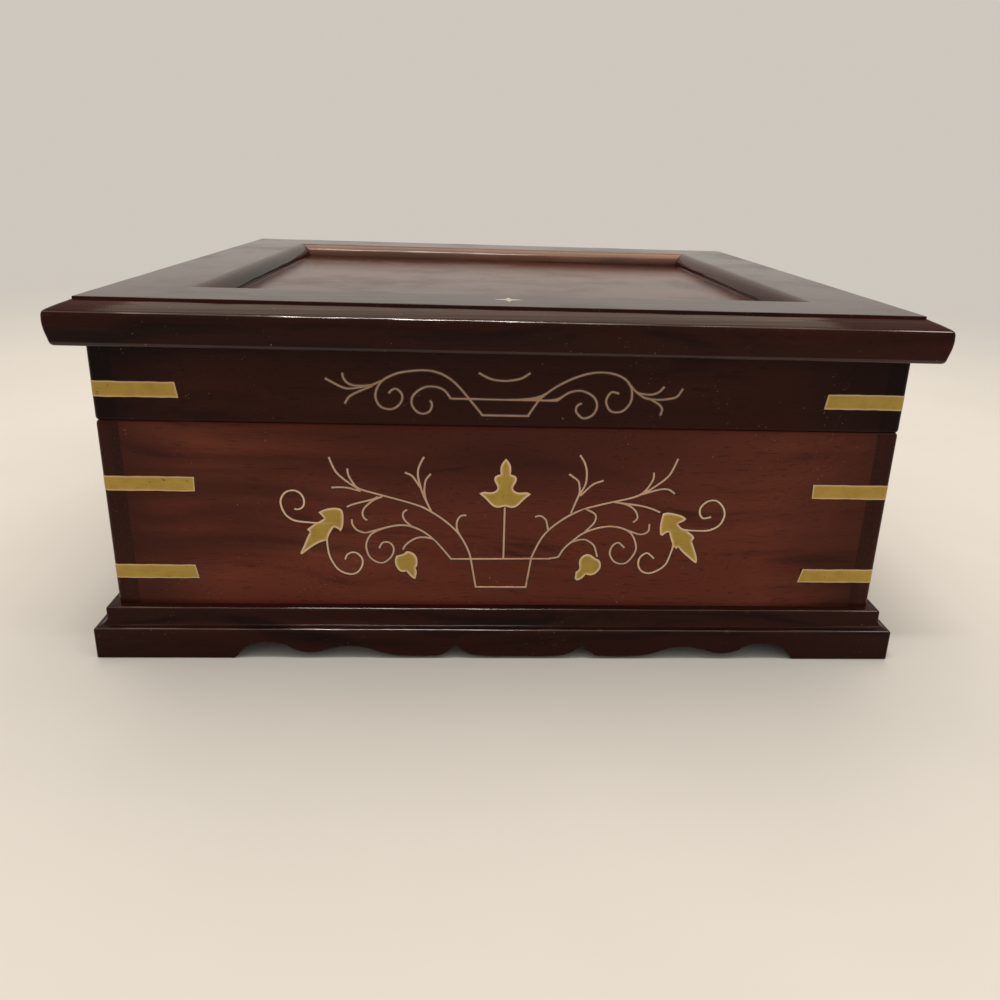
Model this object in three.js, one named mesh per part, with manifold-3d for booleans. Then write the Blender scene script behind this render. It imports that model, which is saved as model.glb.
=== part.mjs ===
// Jewelry chest: a hardwood box with a hinged lid, brass corner straps and brass inlay.
// Millimetres. X runs along the front, -Y is the front, +Z is up, and the origin is the
// middle of the plinth's underside.
import * as THREE from "three";
import { mergeVertices } from "three/addons/utils/BufferGeometryUtils.js";
import Module from "manifold-3d";

const wasm = await Module();
wasm.setup();

// Case
const bodyWidth = 286;
const bodyDepth = 262;
const boardThickness = 8;
const plinthHeight = 19;
const baseWallHeight = 70.5;
const lidWallHeight = 27.4;
const bottomThickness = 5;
const liningThickness = 1.2;
const edgeRadius = 1.6;
const seamEdgeRise = 0.2;
const cornerExtraRadius = 0.4;

// Plinth moulding
const plinthProjection = 7.4;
const plinthLedgeHeight = 12.2;
const plinthLedgeRound = 1.2;
const plinthUpperProjection = 3.6;
const plinthBeadRadius = 1.1;
const plinthShelfReach = 20;
const apronThickness = 12;
const apronShift = 6.5;

// Lid frame
const corniceOverhang = 9;
const corniceFootSetback = 3;
const corniceHeight = 14.5;
const stepHeight = 0.9;
const stepInset = 7.6;
const frameFlat = 29;
const ovoloWidth = 6.8;
const ovoloDepth = 6;
const panelShadowLine = 0.5;
const panelLap = 5.5;
const panelThickness = 6;
const lidLiningThickness = 1.5;

// Brass straps let into the corners
const strapLength = 29;
const strapHeight = 5.8;
const strapThickness = 1;
const lowerStrapRise = 13.1;
const upperStrapRise = 47.5;
const lidStrapRise = 11.4;

// Brass wire and leaf inlay
const wireWidth = 0.7;
const inlayDepth = 1.2;
const vineHalfWidth = 82;
const vineHeight = 53;
const vineRise = 7.5;
const scrollHalfWidth = 62.8;
const scrollHeight = 16.2;
const scrollRise = 4.3;
const scrollShift = -1.7;
const starRadius = 5.2;
const starWaist = 1.9;
const starSetback = 16;

// Hinges
const hingeLength = 40;
const hingeInset = 61;
const leafPlateThickness = 1;
const leafPlateReach = 6;
const knuckleRadius = 2.5;
const knuckleBore = 1.3;
const pinRadius = 1.2;
const middleKnuckleShare = 0.34;
const heelLength = 3.3;
const heelThickness = 1.2;
const lidOpenAngle = 100;

// Sliding tray
const trayDepth = 116;
const trayHeight = 22;
const trayWall = 3;
const trayFloorThickness = 2.5;
const trayDrop = 1.5;
const trayNotchRadius = 9;
const dividerThickness = 2.5;
const dividerHeight = 16;
const longDividerShare = 0.42;
const crossDividerShares = [0.34, 0.66];
const runnerWidth = 6;
const runnerHeight = 5;

// Clearances
const mitreGap = 0.2;
const inlayClearance = 0.1;
const panelClearance = 0.3;
const liningClearance = 0.3;
const hingeClearance = 0.3;
const trayClearance = 1;
const overrun = 2;

// Steps that smooth curves are drawn in
const stepTurn = 10;
const curveSamples = 240;
const arcSteps = 3;
const cornerSteps = 5;
const ovoloSteps = 5;
const roundSides = 20;
const weldDistance = 1e-4;

// Heights and half sizes that follow from the sizes above
const halfWidth = bodyWidth / 2;
const halfDepth = bodyDepth / 2;
const innerHalfWidth = halfWidth - boardThickness;
const innerHalfDepth = halfDepth - boardThickness;
const seamZ = plinthHeight + baseWallHeight;
const lidWallTop = seamZ + lidWallHeight;
const corniceTop = lidWallTop + corniceHeight;
const lidTop = corniceTop + stepHeight;
const floorZ = plinthHeight + bottomThickness;
const frontY = -halfDepth;
const hingeY = halfDepth + knuckleRadius + hingeClearance;

const wood = { color: 0x461c14, roughness: 0.3, metalness: 0 };
const darkWood = { color: 0x2c120d, roughness: 0.3, metalness: 0 };
const trayWood = { color: 0x6b3a22, roughness: 0.5, metalness: 0 };
const brass = { color: 0x947c35, roughness: 0.35, metalness: 1 };
const velvet = { color: 0x5a1020, roughness: 0.95, metalness: 0 };

const chest = new THREE.Group();

// A named piece of the chest from a geometry or a solid.
function piece(name, shape, finish) {
  const geometry = shape.isBufferGeometry ? shape : geometryOf(shape);
  const mesh = new THREE.Mesh(geometry, new THREE.MeshStandardMaterial(finish));
  mesh.name = name;
  chest.add(mesh);
}

// A geometry as a solid that can be cut and joined.
function solidOf(geometry) {
  const bare = geometry.clone();
  bare.deleteAttribute("normal");
  bare.deleteAttribute("uv");
  const merged = mergeVertices(bare, weldDistance);
  return new wasm.Manifold(
    new wasm.Mesh({
      numProp: 3,
      vertProperties: merged.attributes.position.array,
      triVerts: new Uint32Array(merged.index.array),
    }),
  );
}

function geometryOf(solid) {
  const mesh = solid.getMesh();
  return new THREE.BufferGeometry()
    .setAttribute("position", new THREE.BufferAttribute(mesh.vertProperties, 3))
    .setIndex(new THREE.BufferAttribute(mesh.triVerts, 1));
}

// A box between two corners, with every face exactly on the stated plane.
function box(low, high) {
  const geometry = new THREE.BoxGeometry(1, 1, 1);
  const position = geometry.attributes.position;
  for (let i = 0; i < position.count; i++) {
    position.setXYZ(
      i,
      position.getX(i) < 0 ? low[0] : high[0],
      position.getY(i) < 0 ? low[1] : high[1],
      position.getZ(i) < 0 ? low[2] : high[2],
    );
  }
  return geometry;
}

function boxSolid(low, high) {
  return solidOf(box(low, high));
}

// A cylinder along X between two places.
function rodSolid(radius, x0, x1, y, z) {
  const geometry = new THREE.CylinderGeometry(radius, radius, x1 - x0, roundSides);
  geometry.rotateZ(Math.PI / 2);
  geometry.translate((x0 + x1) / 2, y, z);
  return solidOf(geometry);
}

function shapeOf(points) {
  return new THREE.Shape(points.map(([a, b]) => new THREE.Vector2(a, b)));
}

// The four sides of a mitred frame around the body. Each profile point is
// [distance outside the body's face, height]; the sides are front, back, left, right.
const frameSides = [
  { name: "front", place: (u, end) => [end * (halfWidth + u), -(halfDepth + u)] },
  { name: "back", place: (u, end) => [-end * (halfWidth + u), halfDepth + u] },
  { name: "left", place: (u, end) => [-(halfWidth + u), -end * (halfDepth + u)] },
  { name: "right", place: (u, end) => [halfWidth + u, end * (halfDepth + u)] },
];

function frameSide(side, profile) {
  const geometry = new THREE.ExtrudeGeometry(shapeOf(profile), {
    depth: 1,
    bevelEnabled: false,
  });
  const position = geometry.attributes.position;
  for (let i = 0; i < position.count; i++) {
    const end = position.getZ(i) > 0 ? -1 : 1;
    const [x, y] = side.place(position.getX(i), end);
    const along = side.name === "front" || side.name === "back";
    const pull = mitreGap / 2;
    position.setXYZ(
      i,
      along ? x - Math.sign(x) * pull : x,
      along ? y : y - Math.sign(y) * pull,
      position.getY(i),
    );
  }
  return solidOf(geometry);
}

// The rounded outside of the case over one height range: the upright corners and the
// arrises at the seam are rounded, and the far end runs square past the boards.
function caseEnvelope(seamHeight, farHeight) {
  const coreX = halfWidth - edgeRadius - cornerExtraRadius;
  const coreY = halfDepth - edgeRadius - cornerExtraRadius;
  const outline = new THREE.Shape();
  outline.absarc(coreX, coreY, cornerExtraRadius, 0, Math.PI / 2);
  outline.absarc(-coreX, coreY, cornerExtraRadius, Math.PI / 2, Math.PI);
  outline.absarc(-coreX, -coreY, cornerExtraRadius, Math.PI, Math.PI * 1.5);
  outline.absarc(coreX, -coreY, cornerExtraRadius, Math.PI * 1.5, Math.PI * 2);
  const away = Math.sign(farHeight - seamHeight);
  const seamEnd = seamHeight - away * seamEdgeRise;
  const farEnd = farHeight + away * (overrun + edgeRadius);
  const geometry = new THREE.ExtrudeGeometry(outline, {
    depth: Math.abs(seamEnd - farEnd) - 2 * edgeRadius,
    curveSegments: cornerSteps,
    bevelEnabled: true,
    bevelThickness: edgeRadius,
    bevelSize: edgeRadius,
    bevelSegments: cornerSteps,
  });
  geometry.translate(0, 0, Math.min(seamEnd, farEnd) + edgeRadius);
  return solidOf(geometry);
}

const baseEnvelope = caseEnvelope(seamZ, plinthHeight);
const lidEnvelope = caseEnvelope(seamZ, lidWallTop);

// Corner straps: one L of flat brass round each corner, let in flush.
const corners = [
  { name: "front_left", x: -1, y: -1 },
  { name: "front_right", x: 1, y: -1 },
  { name: "back_left", x: -1, y: 1 },
  { name: "back_right", x: 1, y: 1 },
];

const strapRows = [
  { name: "base_lower", z: plinthHeight + lowerStrapRise, envelope: baseEnvelope },
  { name: "base_upper", z: plinthHeight + upperStrapRise, envelope: baseEnvelope },
  { name: "lid", z: seamZ + lidStrapRise, envelope: lidEnvelope },
];

// The L round one corner, grown by a clearance at its ends and edges.
function cornerL(corner, z, clearance) {
  const low = z - strapHeight / 2 - clearance;
  const high = z + strapHeight / 2 + clearance;
  const reach = strapLength + clearance;
  const legs = [
    [halfWidth + overrun, halfWidth - reach, halfDepth + overrun, halfDepth - strapThickness],
    [halfWidth + overrun, halfWidth - strapThickness, halfDepth + overrun, halfDepth - reach],
  ];
  const [first, second] = legs.map(([outerX, innerX, outerY, innerY]) => {
    const xs = [corner.x * outerX, corner.x * innerX].sort((a, b) => a - b);
    const ys = [corner.y * outerY, corner.y * innerY].sort((a, b) => a - b);
    return boxSolid([xs[0], ys[0], low], [xs[1], ys[1], high]);
  });
  return first.add(second);
}

// The wire curves and leaf outlines of the inlay, in shares. The first share runs
// outwards from the middle and the second upwards. The two halves are sawn by hand, so they
// differ a little. Each leaf has a box in the vine's shares: how far out and up it starts,
// and how wide and high it is.
const leftVineShares = {
  foot: 0.124,
  bar: [0.235, 0.217],
  wires: [
    [[0.124, 0], [0.145, 0.217], [0.175, 0.338], [0.207, 0.419], [0.248, 0.485],
      [0.292, 0.541], [0.371, 0.613], [0.434, 0.645], [0.497, 0.665], [0.559, 0.685],
      [0.621, 0.715], [0.682, 0.77], [0.742, 0.855], [0.77, 0.962]],
    [[0.652, 0.737], [0.674, 0.786], [0.689, 0.837], [0.692, 0.882]],
    [[0.637, 0.719], [0.671, 0.737], [0.714, 0.746], [0.764, 0.743]],
    [[0.543, 0.68], [0.591, 0.654], [0.638, 0.64], [0.674, 0.623], [0.7, 0.602]],
    [[0.563, 0.68], [0.599, 0.637], [0.625, 0.591], [0.632, 0.552], [0.624, 0.519],
      [0.611, 0.506]],
    [[0.327, 0.577], [0.355, 0.66], [0.37, 0.728], [0.382, 0.792], [0.386, 0.857],
      [0.378, 0.914], [0.358, 0.972]],
    [[0.361, 0.689], [0.359, 0.741], [0.351, 0.806], [0.329, 0.851]],
    [[0.374, 0.747], [0.39, 0.792], [0.413, 0.837], [0.442, 0.858]],
    [[0.203, 0.408], [0.213, 0.452], [0.212, 0.506], [0.196, 0.544], [0.171, 0.55]],
    [[0.235, 0.213], [0.287, 0.322], [0.324, 0.38], [0.371, 0.433], [0.419, 0.464],
      [0.467, 0.472], [0.514, 0.461], [0.562, 0.438], [0.594, 0.42], [0.626, 0.413],
      [0.658, 0.431], [0.677, 0.471], [0.68, 0.511]],
    [[0.55, 0.444], [0.593, 0.406], [0.615, 0.351], [0.619, 0.29], [0.605, 0.229],
      [0.578, 0.193], [0.546, 0.185], [0.517, 0.213], [0.499, 0.258], [0.497, 0.299],
      [0.508, 0.33], [0.528, 0.343], [0.549, 0.333], [0.562, 0.295]],
    [[0.316, 0.368], [0.348, 0.381], [0.388, 0.378], [0.42, 0.354], [0.444, 0.32],
      [0.455, 0.287]],
    [[0.411, 0.46], [0.439, 0.495], [0.453, 0.535], [0.45, 0.568], [0.434, 0.588]],
  ],
  tendrils: [
    [[0.814, 0.479], [0.853, 0.485], [0.901, 0.485], [0.939, 0.502], [0.969, 0.539],
      [0.986, 0.598], [0.987, 0.65], [0.971, 0.696], [0.947, 0.716], [0.92, 0.716],
      [0.898, 0.693], [0.886, 0.652], [0.89, 0.606], [0.909, 0.582], [0.93, 0.583]],
    [[0.795, 0.395], [0.792, 0.308], [0.789, 0.253], [0.774, 0.192], [0.752, 0.137],
      [0.72, 0.103], [0.684, 0.095], [0.656, 0.118], [0.639, 0.166], [0.639, 0.214],
      [0.657, 0.251], [0.681, 0.262], [0.705, 0.244], [0.716, 0.207]],
  ],
  leafBox: { out: 0.716, up: 0.242, wide: 0.2, high: 0.354 },
  leaf: [
    [0, 0.833], [0.01, 0.946], [0.085, 1], [0.28, 0.997], [0.44, 0.958], [0.55, 0.901],
    [0.485, 0.836], [0.43, 0.771], [0.57, 0.695], [0.71, 0.619], [0.82, 0.537],
    [0.76, 0.48], [0.825, 0.373], [0.91, 0.181], [1, 0.028], [0.96, 0], [0.84, 0.085],
    [0.675, 0.203], [0.51, 0.28], [0.41, 0.299], [0.345, 0.395], [0.285, 0.511],
    [0.22, 0.588], [0.14, 0.568], [0.075, 0.5], [0.025, 0.571], [0, 0.72],
  ],
  budBox: { out: 0.388, up: 0.058, wide: 0.107, high: 0.216 },
  bud: [
    [0.607, 0.903], [0.486, 1], [0.262, 0.986], [0.075, 0.866], [0, 0.644],
    [0.047, 0.444], [0.112, 0.407], [0.019, 0.278], [0.121, 0], [0.252, 0.037],
    [0.402, 0.185], [0.495, 0.278], [0.617, 0.25], [0.776, 0.273], [0.925, 0.426],
    [1, 0.681], [0.916, 0.838], [0.757, 0.875],
  ],
};
const rightVineShares = {
  foot: 0.107,
  bar: [0.215, 0.226],
  wires: [
    [[0.107, 0], [0.121, 0.195], [0.17, 0.385], [0.25, 0.515], [0.35, 0.605], [0.46, 0.653],
      [0.548, 0.678], [0.635, 0.74], [0.725, 0.853], [0.762, 0.985]],
    [[0.622, 0.727], [0.649, 0.795], [0.66, 0.841], [0.659, 0.882]],
    [[0.615, 0.721], [0.655, 0.745], [0.696, 0.76], [0.734, 0.758], [0.762, 0.728]],
    [[0.49, 0.66], [0.563, 0.652], [0.627, 0.634], [0.677, 0.607], [0.703, 0.587]],
    [[0.55, 0.65], [0.586, 0.606], [0.601, 0.561], [0.599, 0.532], [0.583, 0.51]],
    [[0.298, 0.572], [0.32, 0.675], [0.339, 0.727], [0.357, 0.789], [0.36, 0.873],
      [0.348, 0.945], [0.325, 1]],
    [[0.322, 0.67], [0.332, 0.727], [0.331, 0.766], [0.322, 0.816], [0.281, 0.863]],
    [[0.336, 0.704], [0.365, 0.753], [0.391, 0.792], [0.436, 0.819]],
    [[0.2, 0.437], [0.193, 0.496], [0.183, 0.53], [0.16, 0.551], [0.137, 0.544]],
    [[0.2, 0.226], [0.248, 0.238], [0.272, 0.3], [0.31, 0.361], [0.357, 0.423],
      [0.44, 0.472], [0.52, 0.472], [0.581, 0.421], [0.607, 0.309], [0.577, 0.213],
      [0.543, 0.191], [0.508, 0.21], [0.487, 0.27], [0.498, 0.331], [0.525, 0.353],
      [0.553, 0.314]],
    [[0.545, 0.458], [0.595, 0.427], [0.631, 0.421], [0.657, 0.446], [0.659, 0.5]],
    [[0.31, 0.362], [0.362, 0.376], [0.395, 0.355], [0.416, 0.318], [0.43, 0.243]],
    [[0.365, 0.432], [0.397, 0.482], [0.412, 0.528], [0.406, 0.572], [0.362, 0.609]],
  ],
  tendrils: [
    [[0.815, 0.455], [0.89, 0.449], [0.939, 0.456], [0.979, 0.492], [0.998, 0.55],
      [0.996, 0.608], [0.974, 0.66], [0.945, 0.682], [0.911, 0.67], [0.887, 0.629],
      [0.885, 0.583], [0.903, 0.547], [0.939, 0.557]],
    [[0.785, 0.37], [0.773, 0.29], [0.756, 0.204], [0.73, 0.155], [0.689, 0.121],
      [0.653, 0.124], [0.628, 0.16], [0.623, 0.214], [0.636, 0.256], [0.663, 0.274],
      [0.694, 0.233]],
  ],
  leafBox: { out: 0.707, up: 0.198, wide: 0.192, high: 0.392 },
  leaf: [
    [0.05, 0.975], [0.18, 1], [0.36, 0.97], [0.55, 0.93], [0.62, 0.87], [0.56, 0.82],
    [0.43, 0.78], [0.52, 0.7], [0.7, 0.625], [0.84, 0.55], [0.86, 0.5], [0.81, 0.44],
    [0.88, 0.31], [1, 0.07], [0.97, 0], [0.91, 0.02], [0.8, 0.095], [0.6, 0.215],
    [0.49, 0.32], [0.45, 0.28], [0.37, 0.345], [0.33, 0.405], [0.27, 0.515], [0.24, 0.61],
    [0.17, 0.605], [0.09, 0.54], [0.03, 0.555], [0, 0.68], [0.01, 0.83],
  ],
  budBox: { out: 0.332, up: 0.056, wide: 0.12, high: 0.212 },
  bud: [
    [0.46, 1], [0.29, 0.95], [0.15, 0.81], [0.12, 0.64], [0.175, 0.47], [0.12, 0.38],
    [0.03, 0.33], [0, 0.07], [0.08, 0], [0.21, 0.02], [0.36, 0.14], [0.41, 0.23],
    [0.54, 0.19], [0.73, 0.21], [0.89, 0.325], [1, 0.495], [0.975, 0.69], [0.88, 0.8],
    [0.75, 0.815], [0.66, 0.915],
  ],
};
const finialBoxShares = { out: 0, up: 0.605, wide: 0.116, high: 0.363 };
const finialOutlineShares = [
  [0, 1], [0.157, 0.912], [0.217, 0.804], [0.191, 0.686], [0.383, 0.661], [0.443, 0.606],
  [0.409, 0.529], [0.313, 0.457], [0.296, 0.399], [0.365, 0.35], [0.574, 0.311],
  [0.817, 0.347], [1, 0.295], [0.878, 0.245], [0.67, 0.154], [0.513, 0.047], [0.278, 0],
  [0.096, 0.03], [0, 0.039],
];
const finialStemShare = 0.612;
const leftScrollShares = {
  foot: 0.113,
  bar: [0.292, 0.362],
  wires: [
    [[0.113, 0], [0.152, 0.191], [0.182, 0.368], [0.22, 0.543], [0.265, 0.708],
      [0.313, 0.845], [0.365, 0.934], [0.427, 0.973], [0.493, 0.962], [0.566, 0.921],
      [0.625, 0.835], [0.67, 0.724], [0.696, 0.581], [0.708, 0.418], [0.702, 0.271],
      [0.68, 0.153], [0.647, 0.105], [0.61, 0.113], [0.58, 0.19], [0.561, 0.31],
      [0.561, 0.429], [0.577, 0.517], [0.597, 0.553], [0.619, 0.522], [0.634, 0.453]],
    [[0.292, 0.362], [0.313, 0.492], [0.346, 0.584], [0.39, 0.619], [0.435, 0.601],
      [0.475, 0.515], [0.503, 0.389], [0.509, 0.255], [0.498, 0.136], [0.473, 0.039],
      [0.439, 0.014], [0.409, 0.067], [0.396, 0.173], [0.398, 0.263], [0.407, 0.307]],
    [[0.666, 0.736], [0.722, 0.632], [0.766, 0.617], [0.817, 0.607], [0.857, 0.657],
      [0.88, 0.766], [0.886, 0.882]],
    [[0.714, 0.638], [0.795, 0.565], [0.839, 0.541], [0.883, 0.558], [0.933, 0.651],
      [0.98, 0.755]],
    [[0.722, 0.614], [0.781, 0.51], [0.826, 0.439], [0.859, 0.333], [0.877, 0.207]],
  ],
};
const rightScrollShares = {
  foot: 0.142,
  bar: [0.305, 0.355],
  wires: [
    [[0.142, 0], [0.19, 0.31], [0.265, 0.59], [0.375, 0.84], [0.49, 0.985], [0.6, 0.985],
      [0.68, 0.86], [0.72, 0.64], [0.72, 0.355], [0.675, 0.143], [0.61, 0.143],
      [0.58, 0.36], [0.605, 0.56], [0.65, 0.54]],
    [[0.305, 0.355], [0.36, 0.527], [0.438, 0.584], [0.507, 0.46], [0.531, 0.25],
      [0.507, 0.04], [0.455, -0.03], [0.415, 0.11], [0.418, 0.245], [0.443, 0.305]],
    [[0.7, 0.77], [0.727, 0.65], [0.757, 0.562], [0.8, 0.53], [0.843, 0.535],
      [0.878, 0.595], [0.904, 0.71]],
    [[0.742, 0.6], [0.786, 0.473], [0.831, 0.425], [0.889, 0.415], [0.94, 0.44],
      [0.982, 0.5], [1.01, 0.675]],
    [[0.83, 0.425], [0.869, 0.35], [0.894, 0.265], [0.902, 0.18], [0.894, 0.063]],
  ],
};
const arcWireShares = [
  [-0.137, 0.938], [-0.08, 0.815], [0, 0.77], [0.065, 0.795], [0.107, 0.846], [0.148, 0.956],
];

const vineZ = plinthHeight + vineRise;
const scrollZ = seamZ + scrollRise;

function vinePoint([across, up]) {
  return [across * vineHalfWidth, vineZ + up * vineHeight];
}

function scrollPoint([across, up]) {
  return [across * scrollHalfWidth, scrollZ + up * scrollHeight];
}

function inBox(outline, { out, up, wide, high }) {
  return outline.map(([across, rise]) => vinePoint([out + across * wide, up + rise * high]));
}

function mirrored(points) {
  return points.map(([x, z]) => [-x, z]);
}

// Shares along a curve, one wherever it has turned by one step since the last.
function stepsAlong(curve) {
  const kept = [0];
  let before = curve.getTangentAt(0);
  for (let i = 1; i < curveSamples; i++) {
    const along = curve.getTangentAt(i / curveSamples);
    if (before.angleTo(along) >= THREE.MathUtils.degToRad(stepTurn)) {
      kept.push(i / curveSamples);
      before = along;
    }
  }
  return [...kept, 1];
}

// The outline of a strip of one width that follows a smooth curve through points.
function stripOutline(points, width) {
  const curve = new THREE.SplineCurve(points.map(([x, z]) => new THREE.Vector2(x, z)));
  const left = [];
  const right = [];
  for (const share of stepsAlong(curve)) {
    const at = curve.getPointAt(share);
    const along = curve.getTangentAt(share);
    left.push([at.x - (along.y * width) / 2, at.y + (along.x * width) / 2]);
    right.unshift([at.x + (along.y * width) / 2, at.y - (along.x * width) / 2]);
  }
  return left.concat(right);
}

// A flat shape in the front face, from a depth behind it to the face or past it.
function faceSolid(outline, shift, proud) {
  const geometry = new THREE.ExtrudeGeometry(shapeOf(outline), {
    depth: 1,
    bevelEnabled: false,
  });
  const position = geometry.attributes.position;
  for (let i = 0; i < position.count; i++) {
    const y = position.getZ(i) > 0 ? frontY - proud : frontY + inlayDepth;
    position.setXYZ(i, position.getX(i) + shift, y, position.getY(i));
  }
  return solidOf(geometry);
}

// An outline grown outwards by a clearance, each point moved along its corner's bisector.
function grown(outline, clearance) {
  const turn = Math.sign(THREE.ShapeUtils.area(outline.map(([x, y]) => ({ x, y }))));
  return outline.map(([x, y], i) => {
    const [px, py] = outline[(i + outline.length - 1) % outline.length];
    const [nx, ny] = outline[(i + 1) % outline.length];
    const before = new THREE.Vector2(x - px, y - py).normalize();
    const after = new THREE.Vector2(nx - x, ny - y).normalize();
    const along = before.clone().add(after).normalize();
    return [x + along.y * clearance * turn, y - along.x * clearance * turn];
  });
}

// Wires joined into one body, with the same wires a little wider as the groove's tool.
function wireWork(strips, shift) {
  const made = (width, proud) => {
    const solids = strips.map((points) =>
      faceSolid(stripOutline(points, width), shift, proud),
    );
    return solids.reduce((all, solid) => all.add(solid));
  };
  return { body: made(wireWidth, 0), tool: made(wireWidth + 2 * inlayClearance, overrun) };
}

function leafWork(outline, shift) {
  return {
    body: faceSolid(outline, shift, 0),
    tool: faceSolid(grown(outline, inlayClearance), shift, overrun),
  };
}

// The wires of one drawing: those of both halves, the bar between them and the foot under
// it, which runs on past its ends by half a wire.
function drawingWires(leftShares, rightShares, pointOf, halfDrawing) {
  const footEnd = wireWidth / 2 / halfDrawing;
  return [
    ...rightShares.wires.map((wire) => wire.map(pointOf)),
    ...leftShares.wires.map((wire) => mirrored(wire.map(pointOf))),
    [pointOf([-leftShares.bar[0], leftShares.bar[1]]), pointOf(rightShares.bar)],
    [pointOf([-leftShares.foot - footEnd, 0]), pointOf([rightShares.foot + footEnd, 0])],
  ];
}

const vine = wireWork(
  [
    ...drawingWires(leftVineShares, rightVineShares, vinePoint, vineHalfWidth),
    [vinePoint([0, leftVineShares.bar[1]]), vinePoint([0, finialStemShare])],
  ],
  0,
);
const finialHalf = inBox(finialOutlineShares, finialBoxShares);
const finial = leafWork([...finialHalf, ...mirrored(finialHalf.slice(1, -1)).reverse()], 0);

// A big leaf with the two tendrils that curl off it.
function leafWithTendrils(outline, curls) {
  const blade = leafWork(outline, 0);
  const wires = wireWork(curls, 0);
  return { body: blade.body.add(wires.body), tool: blade.tool.add(wires.tool) };
}

const leafRight = leafWithTendrils(
  inBox(rightVineShares.leaf, rightVineShares.leafBox),
  rightVineShares.tendrils.map((curve) => curve.map(vinePoint)),
);
const leafLeft = leafWithTendrils(
  mirrored(inBox(leftVineShares.leaf, leftVineShares.leafBox)),
  leftVineShares.tendrils.map((curve) => mirrored(curve.map(vinePoint))),
);
const budRight = leafWork(inBox(rightVineShares.bud, rightVineShares.budBox), 0);
const budLeft = leafWork(mirrored(inBox(leftVineShares.bud, leftVineShares.budBox)), 0);

const scroll = wireWork(
  drawingWires(leftScrollShares, rightScrollShares, scrollPoint, scrollHalfWidth),
  scrollShift,
);
const arcWire = wireWork([arcWireShares.map(scrollPoint)], scrollShift);

const baseInlay = [
  { name: "inlay_vine_wire", work: vine },
  { name: "inlay_finial_leaf", work: finial },
  { name: "inlay_leaf_left", work: leafLeft },
  { name: "inlay_leaf_right", work: leafRight },
  { name: "inlay_bud_left", work: budLeft },
  { name: "inlay_bud_right", work: budRight },
];
const lidInlay = [
  { name: "lid_inlay_scroll_wire", work: scroll },
  { name: "lid_inlay_arc_wire", work: arcWire },
];

// Hinges: a leaf let into each rim, knuckles behind the case, and a pin.
const hinges = [
  { name: "left", x: -halfWidth + hingeInset },
  { name: "right", x: halfWidth - hingeInset },
];
const middleHalf = (hingeLength * middleKnuckleShare) / 2;

function hingePlate(hinge, low, high) {
  return boxSolid(
    [hinge.x - hingeLength / 2, halfDepth - leafPlateReach, low],
    [hinge.x + hingeLength / 2, halfDepth, high],
  );
}

// The waste that lets a hinge leaf into the rim of a back board.
function hingePocket(hinge, low, high) {
  const reach = hingeLength / 2 + hingeClearance;
  return boxSolid(
    [hinge.x - reach, halfDepth - leafPlateReach - hingeClearance, low],
    [hinge.x + reach, halfDepth + overrun, high],
  );
}

function knuckle(x0, x1, low, high) {
  const tongue = boxSolid([x0, halfDepth - leafPlateReach / 2, low], [x1, hingeY, high]);
  const barrel = rodSolid(knuckleRadius, x0, x1, hingeY, seamZ);
  const bore = rodSolid(knuckleBore, x0 - overrun, x1 + overrun, hingeY, seamZ);
  return barrel.add(tongue).subtract(bore);
}

// The heel on the middle knuckle: it points back while the lid is shut, and lies along the
// back of the case, clear of it by the hinge clearance, when the lid has turned right open.
function hingeHeel(hinge) {
  const heel = box(
    [hinge.x - middleHalf, -knuckleRadius, -knuckleRadius - heelLength],
    [hinge.x + middleHalf, -knuckleRadius + heelThickness, 0],
  );
  heel.rotateX(THREE.MathUtils.degToRad(lidOpenAngle));
  heel.translate(0, hingeY, seamZ);
  const reach = middleHalf + overrun;
  const bore = rodSolid(knuckleBore, hinge.x - reach, hinge.x + reach, hingeY, seamZ);
  return solidOf(heel).subtract(bore);
}

for (const hinge of hinges) {
  const plateLow = seamZ - leafPlateThickness;
  const plateHigh = seamZ + leafPlateThickness;
  const outer = hingeLength / 2;
  const inner = middleHalf + hingeClearance;
  const basePlate = hingePlate(hinge, plateLow, seamZ)
    .add(knuckle(hinge.x - outer, hinge.x - inner, plateLow, seamZ))
    .add(knuckle(hinge.x + inner, hinge.x + outer, plateLow, seamZ));
  const lidPlate = hingePlate(hinge, seamZ, plateHigh)
    .add(knuckle(hinge.x - middleHalf, hinge.x + middleHalf, seamZ, plateHigh))
    .add(hingeHeel(hinge));
  piece(`hinge_${hinge.name}_base_leaf`, basePlate, brass);
  piece(`hinge_${hinge.name}_lid_leaf`, lidPlate, brass);
  const pin = rodSolid(pinRadius, hinge.x - outer, hinge.x + outer, hingeY, seamZ);
  piece(`hinge_${hinge.name}_pin`, pin, brass);
}

// The boards of one half of the case. The side boards run the full depth, so their end
// grain shows at the front, and the front and back boards stand between them.
function boards(prefix, bottom, top, envelope, pockets) {
  const outX = halfWidth + overrun;
  const outY = halfDepth + overrun;
  const blocks = {
    front: boxSolid([-innerHalfWidth, -outY, bottom], [innerHalfWidth, -innerHalfDepth, top]),
    back: boxSolid([-innerHalfWidth, innerHalfDepth, bottom], [innerHalfWidth, outY, top]),
    left: boxSolid([-outX, -outY, bottom], [-innerHalfWidth, outY, top]),
    right: boxSolid([innerHalfWidth, -outY, bottom], [outX, outY, top]),
  };
  for (const [side, block] of Object.entries(blocks)) {
    const tools = [...pockets.straps, ...(pockets[side] || [])];
    const board = tools.reduce((left, tool) => left.subtract(tool), block.intersect(envelope));
    piece(`${prefix}_${side}_board`, board, wood);
  }
}

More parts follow.
